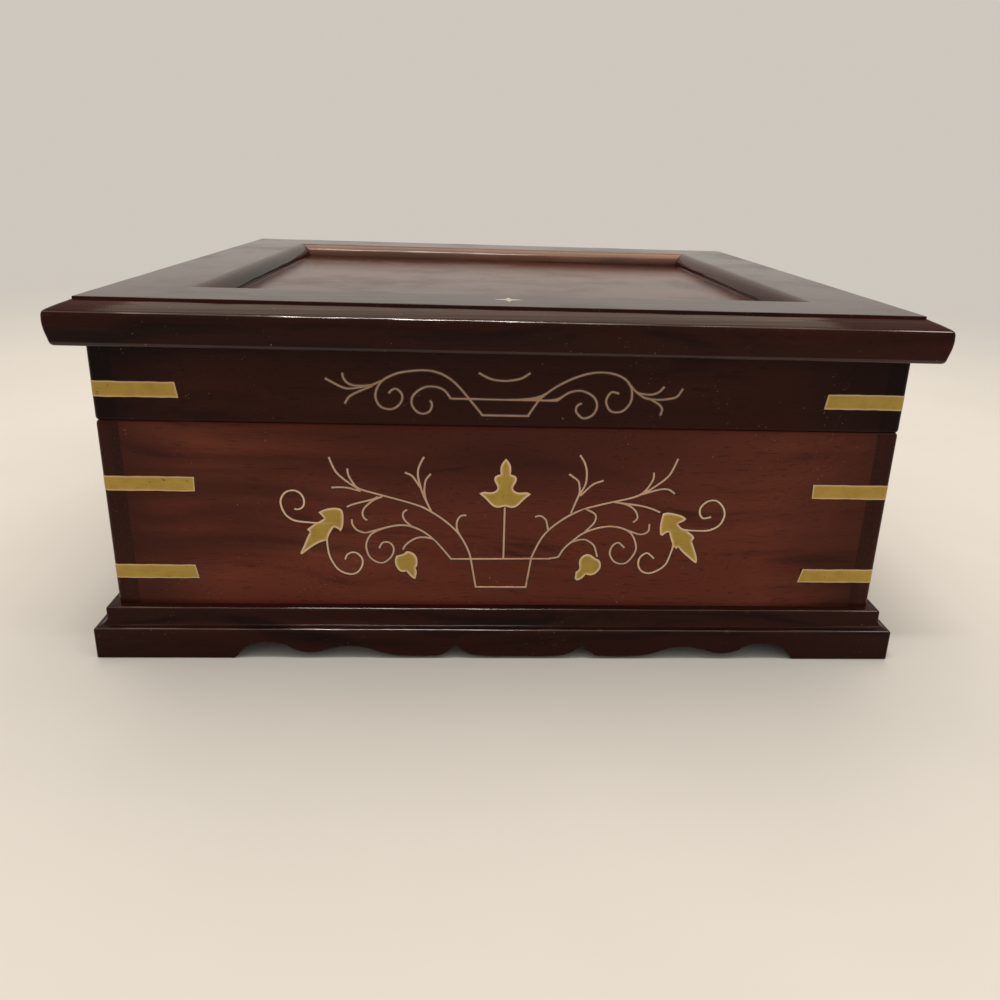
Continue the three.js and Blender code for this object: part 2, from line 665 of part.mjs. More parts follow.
const [lowerPockets, upperPockets, lidPockets] = strapRows.map((row) =>
  corners.map((corner) => cornerL(corner, row.z, inlayClearance)),
);
boards("base", plinthHeight, seamZ, baseEnvelope, {
  straps: [...lowerPockets, ...upperPockets],
  front: baseInlay.map(({ work }) => work.tool),
  back: hinges.map((hinge) => hingePocket(hinge, seamZ - leafPlateThickness, seamZ + overrun)),
});
boards("lid", seamZ, lidWallTop, lidEnvelope, {
  straps: lidPockets,
  front: lidInlay.map(({ work }) => work.tool),
  back: hinges.map((hinge) => hingePocket(hinge, seamZ - overrun, seamZ + leafPlateThickness)),
});

for (const row of strapRows) {
  for (const corner of corners) {
    const strap = cornerL(corner, row.z, 0).intersect(row.envelope);
    piece(`${row.name}_strap_${corner.name}`, strap, brass);
  }
}
for (const { name, work } of [...baseInlay, ...lidInlay]) {
  piece(name, work.body, brass);
}

// Bottom board on the plinth's shelf, its lining, and the two runners under the tray.
piece(
  "base_bottom_board",
  box([-innerHalfWidth, -innerHalfDepth, plinthHeight], [innerHalfWidth, innerHalfDepth, floorZ]),
  wood,
);
piece(
  "base_floor_lining",
  box(
    [-innerHalfWidth + liningClearance, -innerHalfDepth + liningClearance, floorZ],
    [innerHalfWidth - liningClearance, innerHalfDepth - liningClearance, floorZ + liningThickness],
  ),
  velvet,
);
const trayZ = seamZ - trayDrop - trayHeight;
for (const [name, side] of [["left", -1], ["right", 1]]) {
  const xs = [side * innerHalfWidth, side * (innerHalfWidth - runnerWidth)].sort((a, b) => a - b);
  piece(
    `tray_runner_${name}`,
    box([xs[0], -innerHalfDepth, trayZ - runnerHeight], [xs[1], innerHalfDepth, trayZ]),
    wood,
  );
}

// Points of a quarter round between two angles, in eighths of a turn from straight out.
function roundPoints(u, z, radius, from, to) {
  return Array.from({ length: arcSteps + 1 }, (_, i) => {
    const turn = (Math.PI / 4) * (from + ((to - from) * i) / arcSteps);
    return [u + radius * Math.cos(turn), z + radius * Math.sin(turn)];
  });
}

// Plinth: a moulded rail with a shelf that carries the boards and a scalloped apron.
const apronInnerU = plinthProjection - apronThickness;
const beadU = plinthUpperProjection - plinthBeadRadius;
const plinthProfile = [
  [-plinthShelfReach, plinthHeight],
  [-plinthShelfReach, plinthLedgeHeight],
  [apronInnerU, plinthLedgeHeight],
  [apronInnerU, 0],
  [plinthProjection, 0],
  ...roundPoints(
    plinthProjection - plinthLedgeRound,
    plinthLedgeHeight - plinthLedgeRound,
    plinthLedgeRound,
    0,
    2,
  ),
  [plinthUpperProjection + plinthBeadRadius / 2, plinthLedgeHeight + plinthBeadRadius / 2],
  ...roundPoints(beadU, plinthHeight - plinthBeadRadius, plinthBeadRadius, 0, 2),
];
const apronShares = [
  [0, 0.07], [0.08, 0.08], [0.125, 0.16], [0.148, 0.36], [0.158, 0.5], [0.168, 0.36],
  [0.19, 0.14], [0.22, 0.08], [0.3, 0.09], [0.345, 0.2], [0.38, 0.36], [0.42, 0.42],
  [0.46, 0.37], [0.5, 0.22], [0.53, 0.2], [0.56, 0.3], [0.585, 0.48], [0.62, 0.55],
  [0.66, 0.5], [0.69, 0.25], [0.705, 0],
];

// The waste under a scalloped edge, as wide and as deep as the side it is cut from.
function apronWaste(side, halfLength) {
  const half = apronShares.map(([along, up]) => [along * halfLength, up * plinthLedgeHeight]);
  const last = half[half.length - 1][0];
  const outline = [
    ...mirrored(half.slice(1)).reverse(),
    ...half,
    [last, -overrun],
    [-last, -overrun],
  ];
  const geometry = new THREE.ExtrudeGeometry(shapeOf(outline), {
    depth: apronThickness + 2 * overrun,
    bevelEnabled: false,
  });
  geometry.rotateX(Math.PI / 2);
  geometry.translate(0, apronThickness + overrun - plinthProjection, 0);
  if (side.name === "front") {
    geometry.translate(apronShift, -halfDepth, 0);
  }
  if (side.name === "back") {
    geometry.rotateZ(Math.PI);
    geometry.translate(0, halfDepth, 0);
  }
  if (side.name === "left") {
    geometry.rotateZ(-Math.PI / 2);
    geometry.translate(-halfWidth, 0, 0);
  }
  if (side.name === "right") {
    geometry.rotateZ(Math.PI / 2);
    geometry.translate(halfWidth, 0, 0);
  }
  return solidOf(geometry);
}

for (const side of frameSides) {
  const along = side.name === "front" || side.name === "back";
  const halfLength = (along ? halfWidth : halfDepth) + plinthProjection;
  const rail = frameSide(side, plinthProfile).subtract(apronWaste(side, halfLength));
  piece(`plinth_${side.name}_rail`, rail, darkWood);
}

// Lid frame: outside, a cornice with a bowed face and a sloping shoulder over it, then a fine
// step, a flat, and an ovolo that falls to the panel.
const stepU = corniceOverhang - stepInset;
const flatInnerU = stepU - frameFlat;
const ovoloFootU = flatInnerU - ovoloWidth;
const panelTop = lidTop - ovoloDepth - panelShadowLine;
const rebateU = ovoloFootU + panelLap;
const corniceShares = [
  [0.37, 0], [0.53, 0.06], [0.73, 0.2], [0.9, 0.36], [1, 0.52], [0.97, 0.68], [0.88, 0.75],
  [0.72, 0.8], [0.47, 0.835], [-0.33, 0.905], [-1, 0.958],
];
const ovolo = Array.from({ length: ovoloSteps + 1 }, (_, i) => {
  const turn = (Math.PI / 2) * (i / ovoloSteps);
  return [
    flatInnerU - ovoloWidth * Math.sin(turn),
    lidTop - ovoloDepth * (1 - Math.cos(turn)),
  ];
});
const frameProfile = [
  ...corniceShares.map(([out, up]) => [
    corniceOverhang - corniceFootSetback + out * corniceFootSetback,
    lidWallTop + up * corniceHeight,
  ]),
  [stepU, corniceTop],
  [stepU, lidTop - stepHeight / 3],
  [stepU - stepHeight / 3, lidTop],
  ...ovolo,
  [ovoloFootU, panelTop],
  [rebateU, panelTop],
  [rebateU, lidWallTop],
];
const star = Array.from({ length: 8 }, (_, i) => {
  const radius = i % 2 ? starWaist : starRadius;
  const turn = (Math.PI / 4) * i;
  return [
    radius * Math.cos(turn),
    -halfDepth - stepU + starSetback + radius * Math.sin(turn),
  ];
});

function topSolid(outline, proud) {
  const geometry = new THREE.ExtrudeGeometry(shapeOf(outline), {
    depth: 1,
    bevelEnabled: false,
  });
  const position = geometry.attributes.position;
  for (let i = 0; i < position.count; i++) {
    const z = position.getZ(i) > 0 ? lidTop + proud : lidTop - inlayDepth;
    position.setZ(i, z);
  }
  return solidOf(geometry);
}

for (const side of frameSides) {
  let rail = frameSide(side, frameProfile);
  if (side.name === "front") {
    rail = rail.subtract(topSolid(grown(star, inlayClearance), overrun));
  }
  piece(`lid_frame_${side.name}_rail`, rail, darkWood);
}
piece("lid_inlay_star", topSolid(star, 0), brass);
const panelHalfWidth = halfWidth + rebateU - panelClearance;
const panelHalfDepth = halfDepth + rebateU - panelClearance;
piece(
  "lid_panel",
  box(
    [-panelHalfWidth, -panelHalfDepth, panelTop - panelThickness],
    [panelHalfWidth, panelHalfDepth, panelTop],
  ),
  wood,
);
piece(
  "lid_lining",
  box(
    [
      -innerHalfWidth + liningClearance,
      -innerHalfDepth + liningClearance,
      lidWallTop - lidLiningThickness,
    ],
    [innerHalfWidth - liningClearance, innerHalfDepth - liningClearance, lidWallTop],
  ),
  velvet,
);

// Tray: it slides on the runners from the back of the case to the front.
const trayHalfWidth = innerHalfWidth - trayClearance;
const trayBackY = innerHalfDepth - trayClearance;
const trayFrontY = trayBackY - trayDepth;
const trayTop = trayZ + trayHeight;
const trayInnerHalf = trayHalfWidth - trayWall;
const fingerNotch = solidOf(
  new THREE.CylinderGeometry(trayNotchRadius, trayNotchRadius, trayWall + 2 * overrun, roundSides)
    .translate(0, trayFrontY + trayWall / 2, trayTop),
);
piece(
  "tray_front_wall",
  boxSolid(
    [-trayHalfWidth, trayFrontY, trayZ],
    [trayHalfWidth, trayFrontY + trayWall, trayTop],
  ).subtract(fingerNotch),
  trayWood,
);
piece(
  "tray_back_wall",
  box([-trayHalfWidth, trayBackY - trayWall, trayZ], [trayHalfWidth, trayBackY, trayTop]),
  trayWood,
);
for (const [name, side] of [["left", -1], ["right", 1]]) {
  const xs = [side * trayHalfWidth, side * trayInnerHalf].sort((a, b) => a - b);
  piece(
    `tray_${name}_wall`,
    box([xs[0], trayFrontY + trayWall, trayZ], [xs[1], trayBackY - trayWall, trayTop]),
    trayWood,
  );
}
const trayFloorZ = trayZ + trayFloorThickness;
piece(
  "tray_floor",
  box(
    [-trayInnerHalf, trayFrontY + trayWall, trayZ],
    [trayInnerHalf, trayBackY - trayWall, trayFloorZ],
  ),
  velvet,
);
const trayInnerDepth = trayDepth - 2 * trayWall;
const longDividerY = trayFrontY + trayWall + trayInnerDepth * longDividerShare;
piece(
  "tray_long_divider",
  box(
    [-trayInnerHalf, longDividerY - dividerThickness / 2, trayFloorZ],
    [trayInnerHalf, longDividerY + dividerThickness / 2, trayFloorZ + dividerHeight],
  ),
  trayWood,
);
crossDividerShares.forEach((share, i) => {
  const x = -trayInnerHalf + 2 * trayInnerHalf * share;
  piece(
    `tray_cross_divider_${i + 1}`,
    box(
      [x - dividerThickness / 2, longDividerY + dividerThickness / 2, trayFloorZ],
      [x + dividerThickness / 2, trayBackY - trayWall, trayFloorZ + dividerHeight],
    ),
    trayWood,
  );
});

export default chest;
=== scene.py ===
# Jewelry chest: the finish, mouldings, brasswork and linings round its solid frame.
# Metres. X runs along the front, -Y is the front and +Z is up.
import math

import bmesh
import bpy
import numpy as np
from bpy.props import FloatProperty, FloatVectorProperty, PointerProperty
from mathutils import Matrix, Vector
from mathutils.geometry import tessellate_polygon


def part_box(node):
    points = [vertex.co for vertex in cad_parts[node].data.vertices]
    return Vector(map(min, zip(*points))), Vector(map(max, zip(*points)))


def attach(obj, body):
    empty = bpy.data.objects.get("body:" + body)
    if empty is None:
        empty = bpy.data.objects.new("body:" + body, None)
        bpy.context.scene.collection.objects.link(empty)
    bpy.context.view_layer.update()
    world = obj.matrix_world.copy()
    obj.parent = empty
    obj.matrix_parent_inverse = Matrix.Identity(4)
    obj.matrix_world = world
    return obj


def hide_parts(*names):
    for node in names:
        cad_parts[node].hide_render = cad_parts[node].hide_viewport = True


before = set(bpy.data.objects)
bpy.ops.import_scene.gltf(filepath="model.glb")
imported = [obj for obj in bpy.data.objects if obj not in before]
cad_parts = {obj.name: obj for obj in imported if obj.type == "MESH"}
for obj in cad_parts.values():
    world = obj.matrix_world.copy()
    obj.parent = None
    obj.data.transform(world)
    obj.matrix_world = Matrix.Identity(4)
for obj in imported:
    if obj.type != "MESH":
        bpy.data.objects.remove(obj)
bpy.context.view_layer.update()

bl_info = {
    "name": "Jewelry chest",
    "version": (1, 0, 0),
    "blender": (4, 5, 0),
    "location": "View3D > Sidebar > Chest",
    "description": "Dresses a hardwood jewelry chest: mouldings, brass, varnish and velvet",
    "category": "Add Mesh",
}

MM = 0.001
SIDES = ("front", "back", "left", "right")
CORNERS = {
    "front_left": (-1, -1),
    "front_right": (1, -1),
    "back_left": (-1, 1),
    "back_right": (1, 1),
}
STRAP_ROWS = {"base_lower": "base", "base_upper": "base", "lid": "lid"}
HINGE_SIDES = ("left", "right")
# How strongly each layer of varnish mirrors, as an index of refraction: it is rubbed thin on
# the flats, and thick where it has gathered on an edge
VARNISH = {"flat": 1.18, "panel": 1.26, "foot": 1.42, "ovolo": 1.45, "ledge": 1.6, "crest": 1.75}

# Places that the solid frame fixes
CASE_X, CASE_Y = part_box("base_right_board")[1][:2]
WALL_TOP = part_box("lid_left_board")[1][2]
SEAM_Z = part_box("lid_left_board")[0][2]
LID_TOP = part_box("lid_frame_front_rail")[1][2]
CORNICE_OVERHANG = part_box("lid_frame_right_rail")[1][0] - CASE_X
PANEL_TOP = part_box("lid_panel")[1][2]
PLINTH_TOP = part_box("plinth_front_rail")[1][2]
PLINTH_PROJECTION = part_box("plinth_right_rail")[1][0] - CASE_X
PLINTH_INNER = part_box("plinth_right_rail")[0][0] - CASE_X


# The sizes and colours that a user would change

def length(name, description, default):
    """A size in metres."""
    return FloatProperty(name=name, description=description, default=default, unit="LENGTH", precision=5)


def fraction(name, description, default):
    """A share of something, where 1 is all of it."""
    return FloatProperty(name=name, description=description, default=default, subtype="FACTOR", min=0)


def watts(name, description, default):
    """The power of a lamp in watts."""
    return FloatProperty(name=name, description=description, default=default, unit="POWER", min=0)


def colour(name, description, default):
    """A colour as it is without light on it."""
    return FloatVectorProperty(
        name=name, description=description, default=default, subtype="COLOR", size=3, min=0, max=1
    )


class ChestMouldings(bpy.types.PropertyGroup):
    """Sizes of the lid's frame and of the plinth."""

    step_height: length("Step height", "Height of the fine step on the cornice", 0.9 * MM)
    step_inset: length("Step inset", "Width of the cornice's shoulder outside the step", 7.6 * MM)
    step_round: length("Step round", "Radius of the step's upper edge", 0.3 * MM)
    frame_flat: length("Frame flat", "Width of the flat top of the lid's frame", 29 * MM)
    ovolo_width: length("Ovolo width", "Width of the round that falls to the panel", 6.8 * MM)
    ovolo_depth: length("Ovolo depth", "Depth of the round that falls to the panel", 6 * MM)
    varnish_fillet: length("Varnish fillet", "Bead of varnish in the corner on the panel", 0.5 * MM)
    panel_lap: length("Panel lap", "How far the frame laps over the panel", 5.5 * MM)
    mitre_gap: length("Mitre gap", "Width of the fine line at each mitre", 0.05 * MM)
    cornice_corner: length("Cornice corner", "Radius of the cornice's corners from above", 1.4 * MM)
    plinth_corner: length("Plinth corner", "Radius of the plinth's corners from above", 1.2 * MM)
    hand_wave: length("Hand wave", "Height of the waves that hand sanding leaves", 0.035 * MM)
    ledge_height: length("Ledge height", "Height of the plinth's ledge", 12.2 * MM)
    ledge_round: length("Ledge round", "Radius of the plinth's ledge", 1.2 * MM)
    bead_reach: length("Bead reach", "How far the plinth's upper bead stands out", 3.6 * MM)
    bead_round: length("Bead round", "Radius of the plinth's upper bead", 1.1 * MM)
    apron_thickness: length("Apron thickness", "Thickness of the scalloped apron", 12 * MM)
    apron_shift: length("Apron shift", "How far the front scallops sit to the right", 6.5 * MM)


class ChestBrass(bpy.types.PropertyGroup):
    """Sizes of the straps, the inlay and the hinge screws."""

    strap_length: length("Strap length", "Length of a strap on each side of its corner", 29 * MM)
    strap_height: length("Strap height", "Height of a strap", 5.8 * MM)
    strap_thickness: length("Strap thickness", "Thickness of a strap", 1 * MM)
    strap_proud: length("Strap proud", "How far a strap stands out of the wood", 0.06 * MM)
    strap_wander: length("Strap wander", "How far a strap's hand-filed edges wander", 0.2 * MM)
    corner_round: length("Corner round", "Radius of the case's upright corners", 2 * MM)
    inlay_proud: length("Inlay proud", "How far the inlay stands out of the wood", 0.07 * MM)
    inlay_bevel: length("Inlay bevel", "Width of the polished edge of the inlay", 0.09 * MM)
    fine_width: length("Fine width", "Width of leaf that still takes the wire's tone", 0.85 * MM)
    filler_width: length("Filler width", "Width of the dark filler round the inlay", 0.3 * MM)
    screw_radius: length("Screw radius", "Radius of a hinge screw's head", 1.7 * MM)


class ChestFinish(bpy.types.PropertyGroup):
    """Colours of the wood, the metal and the velvet."""

    board_light: colour("Board light", "Paler streaks of the boards", (0.195, 0.05, 0.027))
    board_middle: colour("Board middle", "Main colour of the boards", (0.134, 0.03, 0.017))
    board_dark: colour("Board dark", "Dark streaks of the boards", (0.034, 0.0095, 0.006))
    moulding_light: colour("Moulding light", "Paler streaks of the mouldings", (0.034, 0.0075, 0.0048))
    moulding_middle: colour("Moulding middle", "Main colour of the mouldings", (0.024, 0.0058, 0.0034))
    moulding_dark: colour("Moulding dark", "Dark streaks of the mouldings", (0.0085, 0.0027, 0.002))
    inside_light: colour("Inside light", "Paler streaks of the bare wood inside", (0.22, 0.085, 0.04))
    inside_middle: colour("Inside middle", "Main colour of the bare wood inside", (0.15, 0.05, 0.024))
    inside_dark: colour("Inside dark", "Dark streaks of the bare wood inside", (0.06, 0.018, 0.009))
    # Painted light: the ovolo's paler tones stand in for the warm light that the back rail's ovolo catches
    ovolo_light: colour("Ovolo light", "Paler streaks of the rubbed back ovolo", (0.17, 0.065, 0.03))
    ovolo_middle: colour("Ovolo middle", "Main colour of the rubbed back ovolo", (0.125, 0.045, 0.02))
    ovolo_dark: colour("Ovolo dark", "Dark streaks of the rubbed back ovolo", (0.06, 0.02, 0.01))
    base_stain: fraction("Case stain", "Share of the boards' colours that the case shows", 0.86)
    lid_stain: fraction("Lid stain", "Share of the boards' colours that the lid's boards show", 0.2)
    side_stain: fraction("Side stain", "Share of the front's colours that the sides show", 0.8)
    panel_stain: fraction("Panel stain", "Share of the boards' colours that the panel shows", 0.4)
    # How much darker the case's front grows towards the middle of its upper edge
    heartwood: fraction("Heartwood", "How dark the middle of the case's upper edge is", 0.6)
    dust: colour("Dust", "Specks of dust on the varnish", (0.5, 0.45, 0.38))
    worn_edge: colour("Worn edge", "Wood where the varnish has rubbed thin", (0.11, 0.06, 0.04))
    brass_face: colour("Brass face", "Dull face of the brass", (0.4, 0.27, 0.055))
    brass_rim: colour("Brass rim", "Paler filed edges of the brass", (0.78, 0.54, 0.36))
    wire_face: colour("Wire face", "Paler, pinkish wire of the inlay", (0.6, 0.36, 0.25))
    lid_wire_share: fraction("Lid wire", "Share of the wire's colour that the lid's wire shows", 0.62)
    star_face: colour("Star face", "Pale metal of the star", (0.5, 0.45, 0.4))
    brass_tarnish: colour("Brass tarnish", "Brown spots on the brass", (0.14, 0.075, 0.015))
    filler: colour("Filler", "Dark filler round the inlay", (0.006, 0.003, 0.002))
    velvet: colour("Velvet", "Deep red velvet", (0.115, 0.0045, 0.013))
    velvet_sheen: colour("Velvet sheen", "Light that the tips of the pile give back", (0.7, 0.1, 0.14))


class ChestStage(bpy.types.PropertyGroup):
    """The camera, the lamps and the floor."""

    lens: FloatProperty(name="Lens", description="Focal length", default=30.51, unit="CAMERA")
    camera_x: length("Camera X", "Camera to the right of the middle", -0.012925)
    camera_y: length("Camera Y", "Camera behind the middle, in front where negative", -0.41967)
    camera_z: length("Camera Z", "Camera height", 0.17388)
    camera_yaw: FloatProperty(name="Yaw", description="Turn to the left", default=-0.0562, subtype="ANGLE")
    camera_pitch: FloatProperty(name="Pitch", description="Tilt down", default=0.32909, subtype="ANGLE")
    camera_roll: FloatProperty(name="Roll", description="Roll", default=0.03228, subtype="ANGLE")
    shift_x: FloatProperty(name="Shift X", description="Lens shift to the right", default=-0.01515)
    shift_y: FloatProperty(name="Shift Y", description="Lens shift up", default=-0.03429)
    sky: FloatProperty(name="Sky", description="Strength of the soft light all round", default=0.62)
    backdrop: colour("Backdrop", "Colour of the soft light and the backdrop", (1.0, 0.925, 0.835))
    key_power: watts("Key", "Power of the long, narrow soft box", 6.0)
    overhead_power: watts("Overhead", "Power of the large lamp overhead", 12.0)
    side_power: watts("Side", "Power of the lamp on the right", 1.6)
    floor: colour("Floor", "Colour of the floor", (0.6, 0.59, 0.57))


# Meshes from arrays

def link(mesh, name):
    """A new object in the scene that shows the mesh."""
    piece = bpy.data.objects.new(name, mesh)
    bpy.context.scene.collection.objects.link(piece)
    return piece


def signed_volume(points, faces):
    """Sum over each face's fan of triangles of a sixth of the triple product."""
    total = 0.0
    for count in {len(face) for face in faces}:
        corners = points[np.array([face for face in faces if len(face) == count])]
        first = corners[:, 0]
        for k in range(1, count - 1):
            total += np.einsum("ij,ij->i", first, np.cross(corners[:, k], corners[:, k + 1])).sum()
    return total / 6


def mesh_piece(name, points, faces, material, sharp=math.radians(32)):
    """A closed mesh whose faces are turned outwards and shaded smooth between sharp edges."""
    points = np.asarray(points, dtype=float).reshape(-1, 3)
    faces = [tuple(int(i) for i in face) for face in faces]
    if signed_volume(points, faces) < 0:
        faces = [face[::-1] for face in faces]
    mesh = bpy.data.meshes.new(name)
    mesh.from_pydata(points.tolist(), [], faces)
    mesh.materials.append(material)
    mesh.shade_smooth()
    mesh.set_sharp_from_angle(angle=sharp)
    return link(mesh, name)


def grid_quads(index):
    """A quad for each four neighbours of a grid of point numbers."""
    quads = np.stack([index[:-1, :-1], index[1:, :-1], index[1:, 1:], index[:-1, 1:]], axis=-1)
    return quads.reshape(-1, 4)


def tube_faces(rows, columns, caps=True):
    """Quads of a grid whose columns close on themselves, with a cap on the first and last row."""
    row, column = np.meshgrid(np.arange(rows - 1), np.arange(columns), indexing="ij")
    after = (column + 1) % columns
    quads = np.stack(
        [row * columns + column, row * columns + after, (row + 1) * columns + after,
         (row + 1) * columns + column],
        axis=-1,
    ).reshape(-1, 4)
    faces = quads.tolist()
    if caps:
        faces.append(list(range(columns - 1, -1, -1)))
        faces.append(list(range((rows - 1) * columns, rows * columns)))
    return faces


def ring_faces(rows, columns):
    """Quads of a grid that closes on itself both ways."""
    row, column = np.meshgrid(np.arange(rows), np.arange(columns), indexing="ij")
    next_row, next_column = (row + 1) % rows, (column + 1) % columns
    quads = [row * columns + column, row * columns + next_column,
             next_row * columns + next_column, next_row * columns + column]
    return np.stack(quads, axis=-1).reshape(-1, 4).tolist()


def set_attribute(piece, name, values):
    """Store a value for each point of the piece, for its material to read."""
    layer = piece.data.attributes.new(name, "FLOAT", "POINT")
    layer.data.foreach_set("value", np.asarray(values, dtype=np.float32).ravel())


def curve_through(points, steps):
    """A Catmull-Rom curve through the points: a cubic between each two neighbours whose
    slope at a point is half the way from the point before to the point after."""
    points = np.asarray(points, dtype=float)
    padded = np.vstack([2 * points[0] - points[1], points, 2 * points[-1] - points[-2]])
    t = np.linspace(0, 1, steps, endpoint=False)[:, None]
    parts = []
    for i in range(len(points) - 1):
        a, b, c, d = padded[i:i + 4]
        parts.append(
            0.5 * (2 * b + (c - a) * t + (2 * a - 5 * b + 4 * c - d) * t**2
                   + (3 * b - a - 3 * c + d) * t**3)
        )
    return np.vstack(parts + [points[-1:]])


def arc(centre, radii, start, end, steps):
    """Points centre + (radius cos a, radius sin a) for an angle a in degrees."""
    angle = np.radians(np.linspace(start, end, steps))
    return np.stack(
        [centre[0] + radii[0] * np.cos(angle), centre[1] + radii[1] * np.sin(angle)], axis=-1
    )


def straight(start, end, steps):
    """Points between two ends, without the last."""
    t = np.linspace(0, 1, steps, endpoint=False)[:, None]
    return np.asarray(start) * (1 - t) + np.asarray(end) * t


def waves(along, seed, wavelengths):
    """A sum of sines of those wavelengths with random phases, between about -1 and 1."""
    random = np.random.default_rng(seed)
    total = np.zeros_like(along)
    for wavelength in wavelengths:
        total += np.sin(2 * np.pi * along / wavelength + random.uniform(0, 2 * np.pi))
    return total / len(wavelengths)


def loop_area(loop):
    """Half the sum of the cross products of each two neighbouring points."""
    after = np.roll(loop, -1, axis=0)
    return 0.5 * (loop[:, 0] * after[:, 1] - after[:, 0] * loop[:, 1]).sum()


def loop_normals(loop):
    """Unit vectors square to a closed outline: the way from the point before to the point
    after, turned to the right by a right angle."""
    along = np.roll(loop, -1, axis=0) - np.roll(loop, 1, axis=0)
    along /= np.linalg.norm(along, axis=1)[:, None] + 1e-12
    return np.stack([along[:, 1], -along[:, 0]], axis=-1)


def loop_turns(loop):
    """The angle between the two sides that meet at each point of a closed outline, from
    their cross and dot products, and the mean of the two sides' lengths."""
    before = loop - np.roll(loop, 1, axis=0)
    after = np.roll(loop, -1, axis=0) - loop
    cross = before[:, 0] * after[:, 1] - before[:, 1] * after[:, 0]
    turn = np.arctan2(cross, (before * after).sum(axis=1))
    return turn, (np.linalg.norm(before, axis=1) + np.linalg.norm(after, axis=1)) / 2


def arris_weight(profile, tight=1.2 * MM):
    """How sharply a closed profile turns outwards at each point, from 0 to 1: its turn over
    its sides' mean length, which is 1 over the radius there, times the tight radius."""
    turn, reach = loop_turns(profile)
    bend = np.sign(loop_area(profile)) * turn / reach
    return np.clip(bend * tight, 0, 1)


def joined(parts):
    """The points of named parts one after another, and where each part starts and ends."""
    spans, start = {}, 0
    for name, points in parts.items():
        spans[name] = (start, start + len(points))
        start += len(points)
    return np.vstack(list(parts.values())), spans


def place_on_side(side, out, along):
    """X and Y of points that lie a distance out from the case's face and a distance along
    it, to the right as seen from outside."""
    if side == "front":
        return along, -(CASE_Y + out)
    if side == "back":
        return -along, CASE_Y + out
    if side == "left":
        return -(CASE_X + out), -along
    return CASE_X + out, along


# Wavelengths that hand sanding leaves in a rail, and how much they slant across it
SANDING_WAVES = (0.083, 0.047, 0.031)
SANDING_SLANT = 40


def rail_piece(name, side, profile, steps, material, sizes, corner, bend=None, stretches=()):
    """A mitred rail: the profile's points (distance out, height) carried along one side, to
    the 45 degree planes at its ends, pushed along their normals by small waves. Seen from
    above, its outer points turn the corner on a circle of the corner's radius: at a distance
    t past the circle's start they lie radius - sqrt(radius^2 - t^2) further in. The radius
    grows with the distance out, from nothing at 0.5 mm to all of the corner's at 3.5 mm.
    Each stretch of the profile, from one point to another, takes a finish of its own."""
    half = CASE_X if side in ("front", "back") else CASE_Y
    share = np.sin(np.linspace(-1, 1, steps) * math.pi / 2)[:, None]
    out, height = np.broadcast_arrays(profile[None, :, 0], profile[None, :, 1] + 0 * share)
    radius = corner * np.clip((out - 0.5 * MM) / (3 * MM), 0.001, 1)
    along = share * (half + out - (1 - math.sqrt(0.5)) * radius - sizes.mitre_gap / 2)
    past = np.clip(np.abs(along) - (half + out - radius), 0, None)
    out = out - radius + np.sqrt(radius**2 - past**2)
    normals = loop_normals(profile)
    seed = SIDES.index(side)
    push = sizes.hand_wave * waves(along + SANDING_SLANT * out, seed, SANDING_WAVES)
    push = push * (1 - np.abs(share) ** 12)
    out = out + push * normals[None, :, 0]
    height = height + push * normals[None, :, 1]
    if bend is not None:
        height = bend(along, height)
    x, y = place_on_side(side, out, along)
    points = np.stack([x, y, height], axis=-1)
    piece = mesh_piece(name, points, tube_faces(steps, len(profile)), material)
    place = np.arange(len(piece.data.polygons))
    columns = np.where(place < (steps - 1) * len(profile), place % len(profile), -1)
    finishes = np.zeros(len(place), dtype=np.int32)
    for number, (first, last, finish) in enumerate(stretches, start=1):
        piece.data.materials.append(finish)
        finishes[(columns >= first) & (columns < last)] = number
    piece.data.polygons.foreach_set("material_index", finishes)
    set_attribute(piece, "arris", np.broadcast_to(arris_weight(profile), (steps, len(profile))))
    return piece


def dress(piece, body, slot, *nodes):
    """The piece rides on a body and stands for some nodes, which it hides; the slot is not used."""
    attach(piece, body)
    if nodes:
        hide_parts(*nodes)
    return piece


def merged_copy(node_name, name, material, dissolve=math.radians(1)):
    """A copy of a node's mesh with its loose triangles merged, and flat ones joined."""
    work = bmesh.new()
    work.from_mesh(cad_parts[node_name].data)
    bmesh.ops.remove_doubles(work, verts=work.verts, dist=0.002 * MM)
    if dissolve:
        bmesh.ops.dissolve_limit(work, angle_limit=dissolve, verts=work.verts, edges=work.edges)
    mesh = bpy.data.meshes.new(name)
    work.to_mesh(mesh)
    work.free()
    mesh.materials.clear()
    mesh.materials.append(material)
    return link(mesh, name)


def eased(piece, width, segments=2, angle=math.radians(40)):
    """Rounded edges as a modifier, with the edges of each broad face marked sharp, so that
    the face is shaded truly flat while the rounding beside it stays smooth. With no width
    the edges are only marked."""
    broad = 30 * MM * MM
    mesh = piece.data
    mesh.shade_smooth()
    work = bmesh.new()
    work.from_mesh(mesh)
    for edge in work.edges:
        if len(edge.link_faces) == 2 and edge.calc_face_angle() > math.radians(2):
            wide = max(face.calc_area() for face in edge.link_faces) > broad
            edge.smooth = not wide and edge.calc_face_angle() < math.radians(35)
    work.to_mesh(mesh)
    work.free()
    if width:
        bevel = piece.modifiers.new("eased edges", "BEVEL")
        bevel.width = width
        bevel.segments = segments
        bevel.limit_method = "ANGLE"
        bevel.angle_limit = angle
        bevel.harden_normals = True
    return piece


# Shader building blocks

def node(tree, kind, sockets=None, **settings):
    """A new node with its settings, and each socket linked or set to a plain value."""
    made = tree.nodes.new(kind)
    for key, value in settings.items():
        setattr(made, key, value)
    for key, value in (sockets or {}).items():
        if isinstance(value, bpy.types.NodeSocket):
            tree.links.new(value, made.inputs[key])
        else:
            made.inputs[key].default_value = value
    return made


